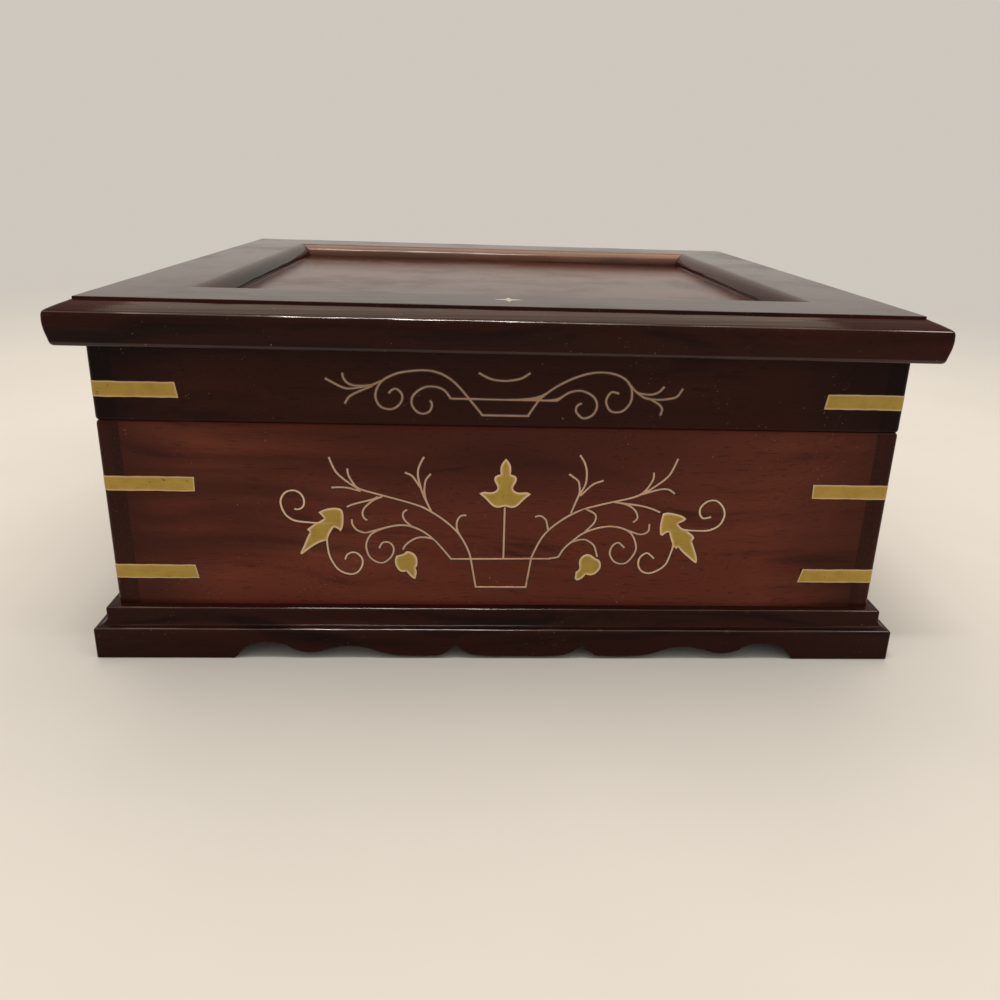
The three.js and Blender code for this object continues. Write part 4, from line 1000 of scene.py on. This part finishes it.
class CHEST_OT_straps(bpy.types.Operator):
    """Bend the twelve brass straps round the corners."""

    bl_idname = "chest.straps"
    bl_label = "Corner straps"

    # How far the end on the front leans, in shares of the strap's height
    end_leans = {
        "lid_front_left": -0.15, "lid_front_right": -0.15, "base_upper_front_left": 0.02,
        "base_upper_front_right": 0.03, "base_lower_front_left": -0.2,
        "base_lower_front_right": -0.25,
    }
    # Straps that were cut a little longer
    longer = {"base_upper_front_left": 3 * MM, "base_lower_front_left": 1.1 * MM}
    # How far the painted shadow shows round a strap, a dark band for the shade in the gap round it, and how
    # far it stands out of the wood
    seat_margin = 0.25 * MM
    seat_proud = 0.012 * MM
    # Wavelengths of the filed edges
    upper_waves = (0.031, 0.013, 0.007)
    lower_waves = (0.027, 0.015, 0.006)

    def strap(self, name, corner, centre_z, sizes, material, seed, margin=0.0, proud=0.0):
        """The strap's section, a flat bar with eased edges, carried along an L with a round
        corner; its upper and lower edges and its ends wander a little. A margin widens it
        all round, as a dark band of painted shadow for the shade in the gap round the strap."""
        random = np.random.default_rng(seed)
        bend_round = sizes.corner_round
        leg = sizes.strap_length - bend_round
        turn = bend_round * math.pi / 2
        first_end = -margin - self.longer.get(name, 0.0)
        steps = np.concatenate([
            np.linspace(first_end, leg, 40, endpoint=False),
            np.linspace(leg, leg + turn, 14, endpoint=False),
            np.linspace(leg + turn, 2 * leg + turn + margin, 40),
        ])[:, None]
        half = sizes.strap_height / 2 + margin
        ease = 0.12 * MM
        face, back = proud, -sizes.strap_thickness + margin
        section = np.vstack([
            [(back, -half + ease)],
            [(face - ease, -half)],
            arc((face - ease, -half + ease), (ease, ease), -60, 0, 3),
            straight((face, -half + 2 * ease), (face, half - 2 * ease), 6),
            [(face, half - 2 * ease)],
            arc((face - ease, half - ease), (ease, ease), 0, 60, 3),
            [(face - ease, half)],
            [(back, half - ease)],
        ])
        deep, up = section[None, :, 0], section[None, :, 1]
        wander = sizes.strap_wander
        upper = wander * (0.5 * waves(steps, seed, self.upper_waves) - 0.5)
        lower = wander * (0.5 * waves(steps, seed + 50, self.lower_waves) - 0.5)
        rise = up + np.where(up > 0, upper, -lower) * np.abs(up) / half
        leans = (self.end_leans.get(name, random.uniform(-0.15, 0.15)), random.uniform(-0.15, 0.15))
        near = np.clip(1 - steps / leg, 0, 1)
        far = np.clip(1 - (2 * leg + turn - steps) / leg, 0, 1)
        distance = steps - leans[0] * rise * near + leans[1] * rise * far
        angle = np.clip((distance - leg) / bend_round, 0, math.pi / 2)
        first = np.minimum(distance, leg)
        last = np.maximum(distance - leg - turn, 0)
        reach = bend_round + deep
        x = CASE_X - sizes.strap_length + first + reach * np.sin(angle)
        y = CASE_Y - bend_round + reach * np.cos(angle) - last
        points = np.stack([corner[0] * x, corner[1] * y, centre_z + rise + 0 * x], axis=-1)
        return mesh_piece(name, points, tube_faces(len(steps), len(section)), material)

    def execute(self, context):
        sizes, finish = context.scene.chest_brass, context.scene.chest_finish
        brass = brass_material("strap brass", finish, finish.brass_face, rim_width=1.1 * MM,
                               rim_share=0.6, rough=0.34)
        dark = filler_material(finish)
        for row, (rise_name, body) in enumerate(STRAP_ROWS.items()):
            for number, (corner_name, corner) in enumerate(CORNERS.items()):
                low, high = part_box(f"{rise_name}_strap_{corner_name}")
                name = f"{rise_name}_{corner_name}"
                middle, seed = (low[2] + high[2]) / 2, 10 * row + number
                strap = self.strap(name, corner, middle, sizes, brass, seed, proud=sizes.strap_proud)
                strap.name = f"strap_{name}"
                dress(strap, body, "brass_straps", f"{rise_name}_strap_{corner_name}")
                # Painted shadow: a dark band in the filler's colour round each strap, for the shade in the
                # gap between strap and wood
                painted_shadow = self.strap(name, corner, middle, sizes, dark, seed, self.seat_margin,
                                  self.seat_proud)
                painted_shadow.name = f"strap_seat_{name}"
                dress(painted_shadow, body, "brass_straps")
        return {"FINISHED"}


INLAYS = {
    "inlay_vine_wire": "base",
    "inlay_finial_leaf": "base",
    "inlay_leaf_left": "base",
    "inlay_leaf_right": "base",
    "inlay_bud_left": "base",
    "inlay_bud_right": "base",
    "lid_inlay_scroll_wire": "lid",
    "lid_inlay_arc_wire": "lid",
    "lid_inlay_star": "lid",
}


def face_loops(piece, axis, sign):
    """Ordered loops of flat points round the faces of a mesh that look along an axis. The
    faces are told apart by their numbers, so that each run finds the loops in one order."""
    work = bmesh.new()
    work.from_mesh(piece.data)
    showing = {face.index: face for face in work.faces if face.normal[axis] * sign > 0.9}
    after = {}
    for number, face in showing.items():
        for loop in face.loops:
            others = {other.index for other in loop.edge.link_faces} - {number}
            if others.isdisjoint(showing):
                after[loop.vert.index] = loop.link_loop_next.vert.index
    places = {vertex.index: tuple(vertex.co) for vertex in work.verts}
    work.free()
    loops = []
    while after:
        start, current = after.popitem()
        loop = [places[start]]
        while current != start:
            loop.append(places[current])
            current = after.pop(current)
        loops.append(np.delete(np.array(loop), axis, axis=1))
    return loops


def rounded_loop(loop, corner=math.radians(48), steps=4):
    """A closed outline drawn smooth: a Catmull-Rom curve through its points whose knots are
    spaced by the root of their distances, broken only where the outline turns sharply."""
    sharp = np.abs(loop_turns(loop)[0]) > corner
    b, c = loop, np.roll(loop, -1, axis=0)
    a = np.where(sharp[:, None], 2 * b - c, np.roll(loop, 1, axis=0))
    d = np.where(np.roll(sharp, -1)[:, None], 2 * c - b, np.roll(loop, -2, axis=0))
    knots = [np.zeros(len(loop))]
    for first, second in ((a, b), (b, c), (c, d)):
        knots.append(knots[-1] + np.linalg.norm(second - first, axis=1) ** 0.5 + 1e-9)
    t = knots[1] + np.linspace(0, 1, steps, endpoint=False)[:, None] * (knots[2] - knots[1])

    def between(left, right, low, high):
        """As far on from left to right as t is from low to high."""
        share = ((t - low) / (high - low))[..., None]
        return left * (1 - share) + right * share

    one = between(a, b, knots[0], knots[1])
    two = between(b, c, knots[1], knots[2])
    three = between(c, d, knots[2], knots[3])
    middle = between(between(one, two, knots[0], knots[2]), between(two, three, knots[1], knots[3]),
                     knots[1], knots[2])
    return middle.transpose(1, 0, 2).reshape(-1, 2)


def evened(loop, corner=math.radians(35), passes=8):
    """An outline with small kinks evened out: each point but those at sharp turns moves half
    way to the middle of its neighbours, pass after pass."""
    share = np.where(np.abs(loop_turns(loop)[0]) > corner, 0.0, 0.5)[:, None]
    for _ in range(passes):
        middle = (np.roll(loop, 1, axis=0) + np.roll(loop, -1, axis=0)) / 2
        loop = loop * (1 - share) + middle * share
    return loop


def thinness(loop, thin, wide):
    """1 where the far side of an outline is nearer than the thin width, 0 where it is
    beyond the wide one: the least distance to any point that is a way off along it. Then
    each point takes the least of its neighbours, so that the mask ends short of a leaf."""
    gaps = np.linalg.norm(loop[:, None] - loop[None], axis=2)
    step = np.linalg.norm(np.roll(loop, -1, axis=0) - loop, axis=1)
    place = np.concatenate([[0], np.cumsum(step)])
    apart = np.abs(place[:-1, None] - place[None, :-1])
    apart = np.minimum(apart, place[-1] - apart)
    across = np.where(apart > 2.2 * wide, gaps, np.inf).min(axis=1)
    found = np.clip((wide - across) / (wide - thin), 0, 1)
    return np.where(apart < 1.4 * wide, found[None], 1).min(axis=1)


class CHEST_OT_inlay(bpy.types.Operator):
    """Polish the brass inlay and run a dark filler line round it."""

    bl_idname = "chest.inlay"
    bl_label = "Brass inlay"

    depth = 1 * MM
    # Less than the slope of the bevel, so that the face beside it is shaded flat
    sharp = math.radians(14)
    # The filler line's depth, how far it lies under the brass, and its height there and outside
    filler_depth = 0.3 * MM
    filler_lap = 0.05 * MM
    filler_rise = (0.03 * MM, 0.004 * MM)

    def ribbons(self, name, loops, rings, axis, material, filled):
        """Rings that follow each outline at their own distance out and height, joined to
        bands. Filled, the first and last ring are capped by triangles between the outlines,
        and otherwise the last ring meets the first."""
        points, faces, start = [], [], 0
        for loop in loops:
            normals = loop_normals(loop)
            for out, level in rings:
                ring = loop + normals * out
                points.append(np.insert(ring, axis, level, axis=1))
            count, bands = len(loop), len(rings)
            quads = np.array(tube_faces(bands, count, caps=False) if filled else ring_faces(bands, count))
            faces += (quads + start).tolist()
            start += count * bands
        if filled:
            caps = tessellate_polygon([[(*point, 0.0) for point in loop] for loop in loops])
            own = np.concatenate([
                np.arange(len(loop)) + sum(len(rings) * len(other) for other in loops[:i])
                for i, loop in enumerate(loops)
            ])
            lift = np.concatenate([np.full(len(loop), (len(rings) - 1) * len(loop)) for loop in loops])
            faces += [[int(own[i]) for i in cap] for cap in caps]
            faces += [[int(own[i] + lift[i]) for i in reversed(cap)] for cap in caps]
        points = np.vstack(points)
        mesh = bpy.data.meshes.new(name)
        mesh.from_pydata(points.tolist(), [], faces)
        mesh.materials.append(material)
        work = bmesh.new()
        work.from_mesh(mesh)
        bmesh.ops.recalc_face_normals(work, faces=work.faces)
        work.to_mesh(mesh)
        work.free()
        mesh.shade_smooth()
        mesh.set_sharp_from_angle(angle=self.sharp)
        return link(mesh, name)

    def execute(self, context):
        sizes, finish = context.scene.chest_brass, context.scene.chest_finish
        dull_face = rgba(finish.wire_face, finish.lid_wire_share)
        brass = brass_material("leaf brass", finish, finish.brass_face, rim_width=1.7 * MM,
                               rim_share=0.95, rough=0.36, thin_face=finish.wire_face)
        wire = brass_material("wire brass", finish, finish.wire_face, rim_width=0.3 * MM,
                              rim_share=0.3, rough=0.36)
        dull = brass_material("dull wire brass", finish, dull_face, rim_width=0.3 * MM,
                              rim_share=0.2, rough=0.4)
        pale = brass_material("star brass", finish, finish.star_face, rim_width=0.5 * MM,
                              rim_share=0.0, rough=0.4)
        dark = filler_material(finish)
        for node_name, body in INLAYS.items():
            on_top = node_name.endswith("star")
            axis, sign, face = (2, 1, LID_TOP) if on_top else (1, -1, -CASE_Y)
            thread = dull if body == "lid" else wire
            metal = pale if on_top else thread if node_name.endswith("wire") else brass
            source = merged_copy(node_name, f"{node_name}_outline", metal, dissolve=0)
            loops = [evened(rounded_loop(loop)) for loop in face_loops(source, axis, sign)]
            bpy.data.objects.remove(source)
            loops.sort(key=lambda loop: -np.ptp(loop[:, 0]))
            if loop_area(loops[0]) < 0:
                loops = [loop[::-1] for loop in loops]
            bevel, proud = sizes.inlay_bevel, sizes.inlay_proud
            rings = (
                (0, face - sign * self.depth),
                (0, face + sign * (proud - 0.8 * bevel)),
                (-0.35 * bevel, face + sign * (proud - 0.2 * bevel)),
                (-bevel, face + sign * proud),
            )
            inlay = self.ribbons(f"{node_name}_polished", loops, rings, axis, metal, True)
            if node_name in ("inlay_leaf_left", "inlay_leaf_right"):
                thin = [thinness(loop, sizes.fine_width, 1.6 * sizes.fine_width) for loop in loops]
                set_attribute(inlay, "thin", np.concatenate([np.tile(part, len(rings)) for part in thin]))
            dress(inlay, body, "brass_inlay", node_name)
            rings = (
                (-self.filler_lap, face - sign * self.filler_depth),
                (-self.filler_lap, face + sign * self.filler_rise[0]),
                (sizes.filler_width, face + sign * self.filler_rise[1]),
                (sizes.filler_width, face - sign * self.filler_depth),
            )
            line = self.ribbons(f"{node_name}_filler", loops, rings, axis, dark, False)
            dress(line, body, "brass_inlay")
        return {"FINISHED"}


class CHEST_OT_hinges(bpy.types.Operator):
    """Finish the two hinges and drive their screws."""

    bl_idname = "chest.hinges"
    bl_label = "Hinges"

    # Places of a leaf's screws along it and back from its front edge
    screw_shares = (0.16, 0.5, 0.84)
    screw_setback = 2.6 * MM
    # A screw head's dome, how far it stands out and goes down, and its slot
    dome_height = 0.12 * MM
    head_proud = 0.04 * MM
    head_depth = 0.45 * MM
    slot_half_width = 0.3 * MM
    slot_depth = 0.35 * MM

    def screw(self, name, centre, up, radius, material, turn):
        """A slotted countersunk head: rings of a low dome, with the points near a line
        through the middle pushed down to make the slot."""
        rings = np.linspace(1, 0.06, 14)
        angles = np.linspace(0, 2 * np.pi, 48, endpoint=False)
        ring, angle = np.meshgrid(rings, angles, indexing="ij")
        x, y = radius * ring * np.cos(angle), radius * ring * np.sin(angle)
        dome = self.dome_height * (1 - ring**2)
        slot = np.abs(x * math.sin(turn) - y * math.cos(turn)) < self.slot_half_width
        top = np.where(slot, dome - self.slot_depth, dome) + self.head_proud
        under = np.stack([radius * 0.96 * np.cos(angles), radius * 0.96 * np.sin(angles),
                          np.full_like(angles, -self.head_depth)], axis=-1)
        points = np.vstack([under, np.stack([x, y, top], axis=-1).reshape(-1, 3)])
        points[:, 2] *= up
        points += np.asarray(centre)
        return mesh_piece(name, points, tube_faces(len(rings) + 1, len(angles)), material)

    def execute(self, context):
        sizes, finish = context.scene.chest_brass, context.scene.chest_finish
        brass = brass_material("hinge brass", finish, finish.brass_face, rim_width=0.6 * MM,
                               rim_share=0.4, rough=0.26)
        for side in HINGE_SIDES:
            for part, body in (("base_leaf", "base"), ("lid_leaf", "lid"), ("pin", "base")):
                node_name = f"hinge_{side}_{part}"
                leaf = merged_copy(node_name, f"{node_name}_finished", brass)
                eased(leaf, 0.12 * MM, angle=math.radians(50))
                dress(leaf, body, "brass_hinges", node_name)
            low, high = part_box(f"hinge_{side}_base_leaf")
            for body, up in (("base", 1), ("lid", -1)):
                for number, share in enumerate(self.screw_shares):
                    place = (low[0] + (high[0] - low[0]) * share, low[1] + self.screw_setback,
                             SEAM_Z - up * 0.1 * MM)
                    turn = 0.5 + number + (0.8 if side == "left" else 0.0)
                    screw = self.screw(f"hinge_{side}_{body}_screw_{number + 1}", place, up,
                                       sizes.screw_radius, brass, turn)
                    dress(screw, body, "brass_hinges")
        return {"FINISHED"}


class CHEST_OT_linings(bpy.types.Operator):
    """Lay the velvet in the base, the lid and the tray."""

    bl_idname = "chest.linings"
    bl_label = "Velvet linings"

    columns = 161
    rows = 121
    # The share of the thickness that the edge keeps, and how tightly the face rolls over to it
    edge_share = 0.35
    roll = 80
    ripple_height = 0.06 * MM
    ripple_waves = (0.06, 0.027, 0.041)
    ripple_slant = (0.1, 0.07)
    ripple_seed = 3

    def pad(self, name, low, high, face_up, material):
        """A thin velvet-covered board: a closed slab with a plain back. With m going from 0
        in the middle to 1 at the edges, its show face stands at its thickness times
        (share + (1 - share) * sqrt(1 - m^roll)), less a fine ripple: flat, and rolled over
        close to its edges."""
        columns, rows = self.columns, self.rows
        s, t = np.meshgrid(np.linspace(-1, 1, columns), np.linspace(-1, 1, rows), indexing="ij")
        thick = high[2] - low[2]
        rolled = np.clip(1 - np.maximum(np.abs(s), np.abs(t)) ** self.roll, 0, 1) ** 0.5
        slanted = s * self.ripple_slant[0] + t * self.ripple_slant[1]
        ripple = self.ripple_height * waves(slanted, self.ripple_seed, self.ripple_waves)
        face = thick * (self.edge_share + (1 - self.edge_share) * rolled) - np.abs(ripple)
        x = (low[0] + high[0]) / 2 + s * (high[0] - low[0]) / 2
        y = (low[1] + high[1]) / 2 + t * (high[1] - low[1]) / 2
        show = low[2] + face if face_up else high[2] - face
        hidden = np.full_like(show, low[2] if face_up else high[2])
        top = np.stack([x, y, show], axis=-1).reshape(-1, 3)
        bottom = np.stack([x, y, hidden], axis=-1).reshape(-1, 3)
        index = np.arange(columns * rows).reshape(columns, rows)
        quads = grid_quads(index)
        rim = np.concatenate([index[:, 0], index[-1, 1:], index[-2::-1, -1], index[0, -2:0:-1]])
        wall = np.stack([rim, rim + columns * rows, np.roll(rim, -1) + columns * rows, np.roll(rim, -1)],
                        axis=-1)
        faces = quads.tolist() + (quads[:, ::-1] + columns * rows).tolist() + wall.tolist()
        return mesh_piece(name, np.vstack([top, bottom]), faces, material, math.radians(70))

    def execute(self, context):
        velvet = velvet_material(context.scene.chest_finish)
        for node_name, body, face_up in (
            ("base_floor_lining", "base", True), ("lid_lining", "lid", False), ("tray_floor", "tray", True),
        ):
            low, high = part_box(node_name)
            pad = self.pad(f"{node_name}_velvet", low, high, face_up, velvet)
            dress(pad, body, "velvet", node_name)
        return {"FINISHED"}


class CHEST_OT_tray(bpy.types.Operator):
    """Ease and finish the tray's walls and dividers, the runners and the bottom board."""

    bl_idname = "chest.tray"
    bl_label = "Tray"

    def execute(self, context):
        finish = context.scene.chest_finish
        across = ("tray_front_wall", "tray_back_wall", "tray_long_divider")
        along = ("tray_left_wall", "tray_right_wall", "tray_cross_divider_1", "tray_cross_divider_2")
        for number, node_name in enumerate(across + along):
            grain = "x" if node_name in across else "y"
            wood = varnished_wood(
                f"{node_name} wood", tones_of(finish, "inside"), grain,
                (0.2 + 0.19 * number, 0.13 * number, 0.3), finish, rough=0.42,
            )
            wall = merged_copy(node_name, f"{node_name}_finished", wood)
            eased(wall, 0.45 * MM, segments=3)
            dress(wall, "tray", "tray_wood", node_name)
        for number, node_name in enumerate(("tray_runner_left", "tray_runner_right", "base_bottom_board")):
            wood = varnished_wood(
                f"{node_name} wood", tones_of(finish, "inside"), "y",
                (0.7 + 0.23 * number, 0.5, 0.2), finish, rough=0.5,
            )
            board = merged_copy(node_name, f"{node_name}_finished", wood)
            eased(board, 0.3 * MM)
            dress(board, "base", "inside_wood", node_name)
        return {"FINISHED"}


class CHEST_OT_stage(bpy.types.Operator):
    """Set the camera, the lamps, the world and the floor."""

    bl_idname = "chest.stage"
    bl_label = "Stage"

    # Each lamp's place, target, width and length, and tint
    lamps = {
        "soft box": ((-0.13, -0.35, 1.5), (0, 0, 0.06), (0.5, 0.08), (1.0, 0.95, 0.88)),
        "overhead": ((0, 0.3, 1.25), (0, 0, 0.12), (1.3, 1.2), (1.0, 0.87, 0.7)),
        "side lamp": ((0.85, -0.45, 1.2), (0, 0, 0.06), (0.3, 0.3), (1.0, 0.95, 0.9)),
    }
    # The floor's half width, its points along a side, and between which distances it fades
    floor_reach = 4.0
    floor_points = 41
    fade = (0.35, 1.3)

    def camera(self, context, stage):
        """A camera that looks along +Y, turned left by the yaw, tilted down by the pitch and
        rolled about the way that it looks."""
        scene = context.scene
        camera = bpy.data.objects.new("camera", bpy.data.cameras.new("camera"))
        scene.collection.objects.link(camera)
        yaw, pitch, roll = stage.camera_yaw, stage.camera_pitch, stage.camera_roll
        ahead = np.array([-math.sin(yaw) * math.cos(pitch), math.cos(yaw) * math.cos(pitch),
                          -math.sin(pitch)])
        level = np.array([math.cos(yaw), math.sin(yaw), 0.0])
        over = np.cross(level, ahead)
        right = math.cos(roll) * level + math.sin(roll) * over
        up = -math.sin(roll) * level + math.cos(roll) * over
        turn = Matrix(np.column_stack([right, up, -ahead]).tolist()).to_4x4()
        place = (stage.camera_x, stage.camera_y, stage.camera_z)
        camera.matrix_world = Matrix.Translation(place) @ turn
        camera.data.lens = stage.lens
        camera.data.sensor_width = 36.0
        camera.data.sensor_fit = "HORIZONTAL"
        camera.data.shift_x, camera.data.shift_y = stage.shift_x, stage.shift_y
        camera.data.clip_start = 0.01
        scene.camera = camera

    def lamp(self, context, name, power, place, target, size, tint):
        """A rectangular lamp that faces its target, with its width square to +Y."""
        data = bpy.data.lights.new(name, "AREA")
        data.shape = "RECTANGLE"
        data.size, data.size_y = size
        data.energy = power
        data.color = tint
        lamp = bpy.data.objects.new(name, data)
        context.scene.collection.objects.link(lamp)
        away = np.array(place, dtype=float) - np.array(target, dtype=float)
        away /= np.linalg.norm(away)
        side = np.cross((0, 1, 0), away)
        side /= np.linalg.norm(side)
        turn = Matrix(np.column_stack([side, np.cross(away, side), away]).tolist()).to_4x4()
        lamp.matrix_world = Matrix.Translation(place) @ turn

    def seen_white(self, tree):
        """1 for rays from the camera and for those that gloss or glass sends on."""
        path = tree.nodes.new("ShaderNodeLightPath").outputs
        seen = sums(tree, "MAXIMUM", path["Is Camera Ray"], path["Is Glossy Ray"])
        return sums(tree, "MAXIMUM", seen, path["Is Transmission Ray"])

    def world(self, context, stage):
        """The same soft light from all round."""
        world = bpy.data.worlds.new("soft studio")
        context.scene.world = world
        world.use_nodes = True
        tree = world.node_tree
        tree.nodes.clear()
        sky = node(tree, "ShaderNodeBackground", {"Color": rgba(stage.backdrop), "Strength": stage.sky})
        node(tree, "ShaderNodeOutputWorld", {"Surface": sky.outputs[0]})

    def floor(self, stage):
        """A flat grid whose colour fades into the backdrop's far from the chest, and which
        takes the chest's shadow near it."""
        material, tree, surface, place = start_material("pale floor")
        where = place.outputs["Object"]
        cloud = spread(tree, noise(tree, where, 9.0, 3.0, 0.6), 0.3, 0.7)
        tone = blend(tree, cloud, rgba(stage.floor), rgba(stage.floor, 1.03))
        tree.links.new(tone, surface.inputs["Base Color"])
        surface.inputs["Roughness"].default_value = 0.8
        surface.inputs["Specular IOR Level"].default_value = 0.2
        distance = node(tree, "ShaderNodeVectorMath", {0: where}, operation="LENGTH").outputs["Value"]
        far = sums(tree, "MULTIPLY", spread(tree, distance, *self.fade), self.seen_white(tree))
        glow = node(tree, "ShaderNodeEmission", {"Color": rgba(stage.backdrop), "Strength": stage.sky})
        mix = node(tree, "ShaderNodeMixShader", {0: far, 1: surface.outputs[0], 2: glow.outputs[0]})
        output = next(item for item in tree.nodes if item.type == "OUTPUT_MATERIAL")
        tree.links.new(mix.outputs[0], output.inputs["Surface"])
        lines = np.linspace(-self.floor_reach, self.floor_reach, self.floor_points)
        s, t = np.meshgrid(lines, lines, indexing="ij")
        points = np.stack([s, t, 0 * s], axis=-1).reshape(-1, 3)
        quads = grid_quads(np.arange(len(points)).reshape(s.shape))
        mesh = bpy.data.meshes.new("floor")
        mesh.from_pydata(points.tolist(), [], quads.tolist())
        mesh.materials.append(material)
        link(mesh, "floor")

    def execute(self, context):
        stage = context.scene.chest_stage
        context.scene.view_settings.view_transform = "Standard"
        self.camera(context, stage)
        powers = (stage.key_power, stage.overhead_power, stage.side_power)
        for (name, setting), power in zip(self.lamps.items(), powers):
            self.lamp(context, name, power, *setting)
        self.world(context, stage)
        self.floor(stage)
        return {"FINISHED"}


class CHEST_PT_sidebar(bpy.types.Panel):
    """Lists the chest's pieces and sizes."""

    bl_idname = "CHEST_PT_sidebar"
    bl_label = "Jewelry chest"
    bl_space_type = "VIEW_3D"
    bl_region_type = "UI"
    bl_category = "Chest"

    def draw(self, context):
        for operator in OPERATORS:
            self.layout.operator(operator.bl_idname)
        for name in SETTINGS:
            box = self.layout.box()
            group = getattr(context.scene, name)
            for item in group.__annotations__:
                box.prop(group, item)


SETTINGS = {
    "chest_mouldings": ChestMouldings,
    "chest_brass": ChestBrass,
    "chest_finish": ChestFinish,
    "chest_stage": ChestStage,
}
OPERATORS = (
    CHEST_OT_stage,
    CHEST_OT_boards,
    CHEST_OT_cornice,
    CHEST_OT_plinth,
    CHEST_OT_panel,
    CHEST_OT_straps,
    CHEST_OT_inlay,
    CHEST_OT_hinges,
    CHEST_OT_linings,
    CHEST_OT_tray,
)


def register():
    """Make the settings, the operators and the panel known to Blender."""
    for group in SETTINGS.values():
        bpy.utils.register_class(group)
    for name, group in SETTINGS.items():
        setattr(bpy.types.Scene, name, PointerProperty(type=group))
    for operator in OPERATORS:
        bpy.utils.register_class(operator)
    bpy.utils.register_class(CHEST_PT_sidebar)


def unregister():
    """Take them away again, last made first."""
    bpy.utils.unregister_class(CHEST_PT_sidebar)
    for operator in reversed(OPERATORS):
        bpy.utils.unregister_class(operator)
    for name, group in SETTINGS.items():
        delattr(bpy.types.Scene, name)
        bpy.utils.unregister_class(group)


def main():
    """Make every piece in order."""
    register()
    for operator in OPERATORS:
        group, action = operator.bl_idname.split(".")
        getattr(getattr(bpy.ops, group), action)()
    bpy.context.view_layer.update()


if __name__ == "__main__":
    main()
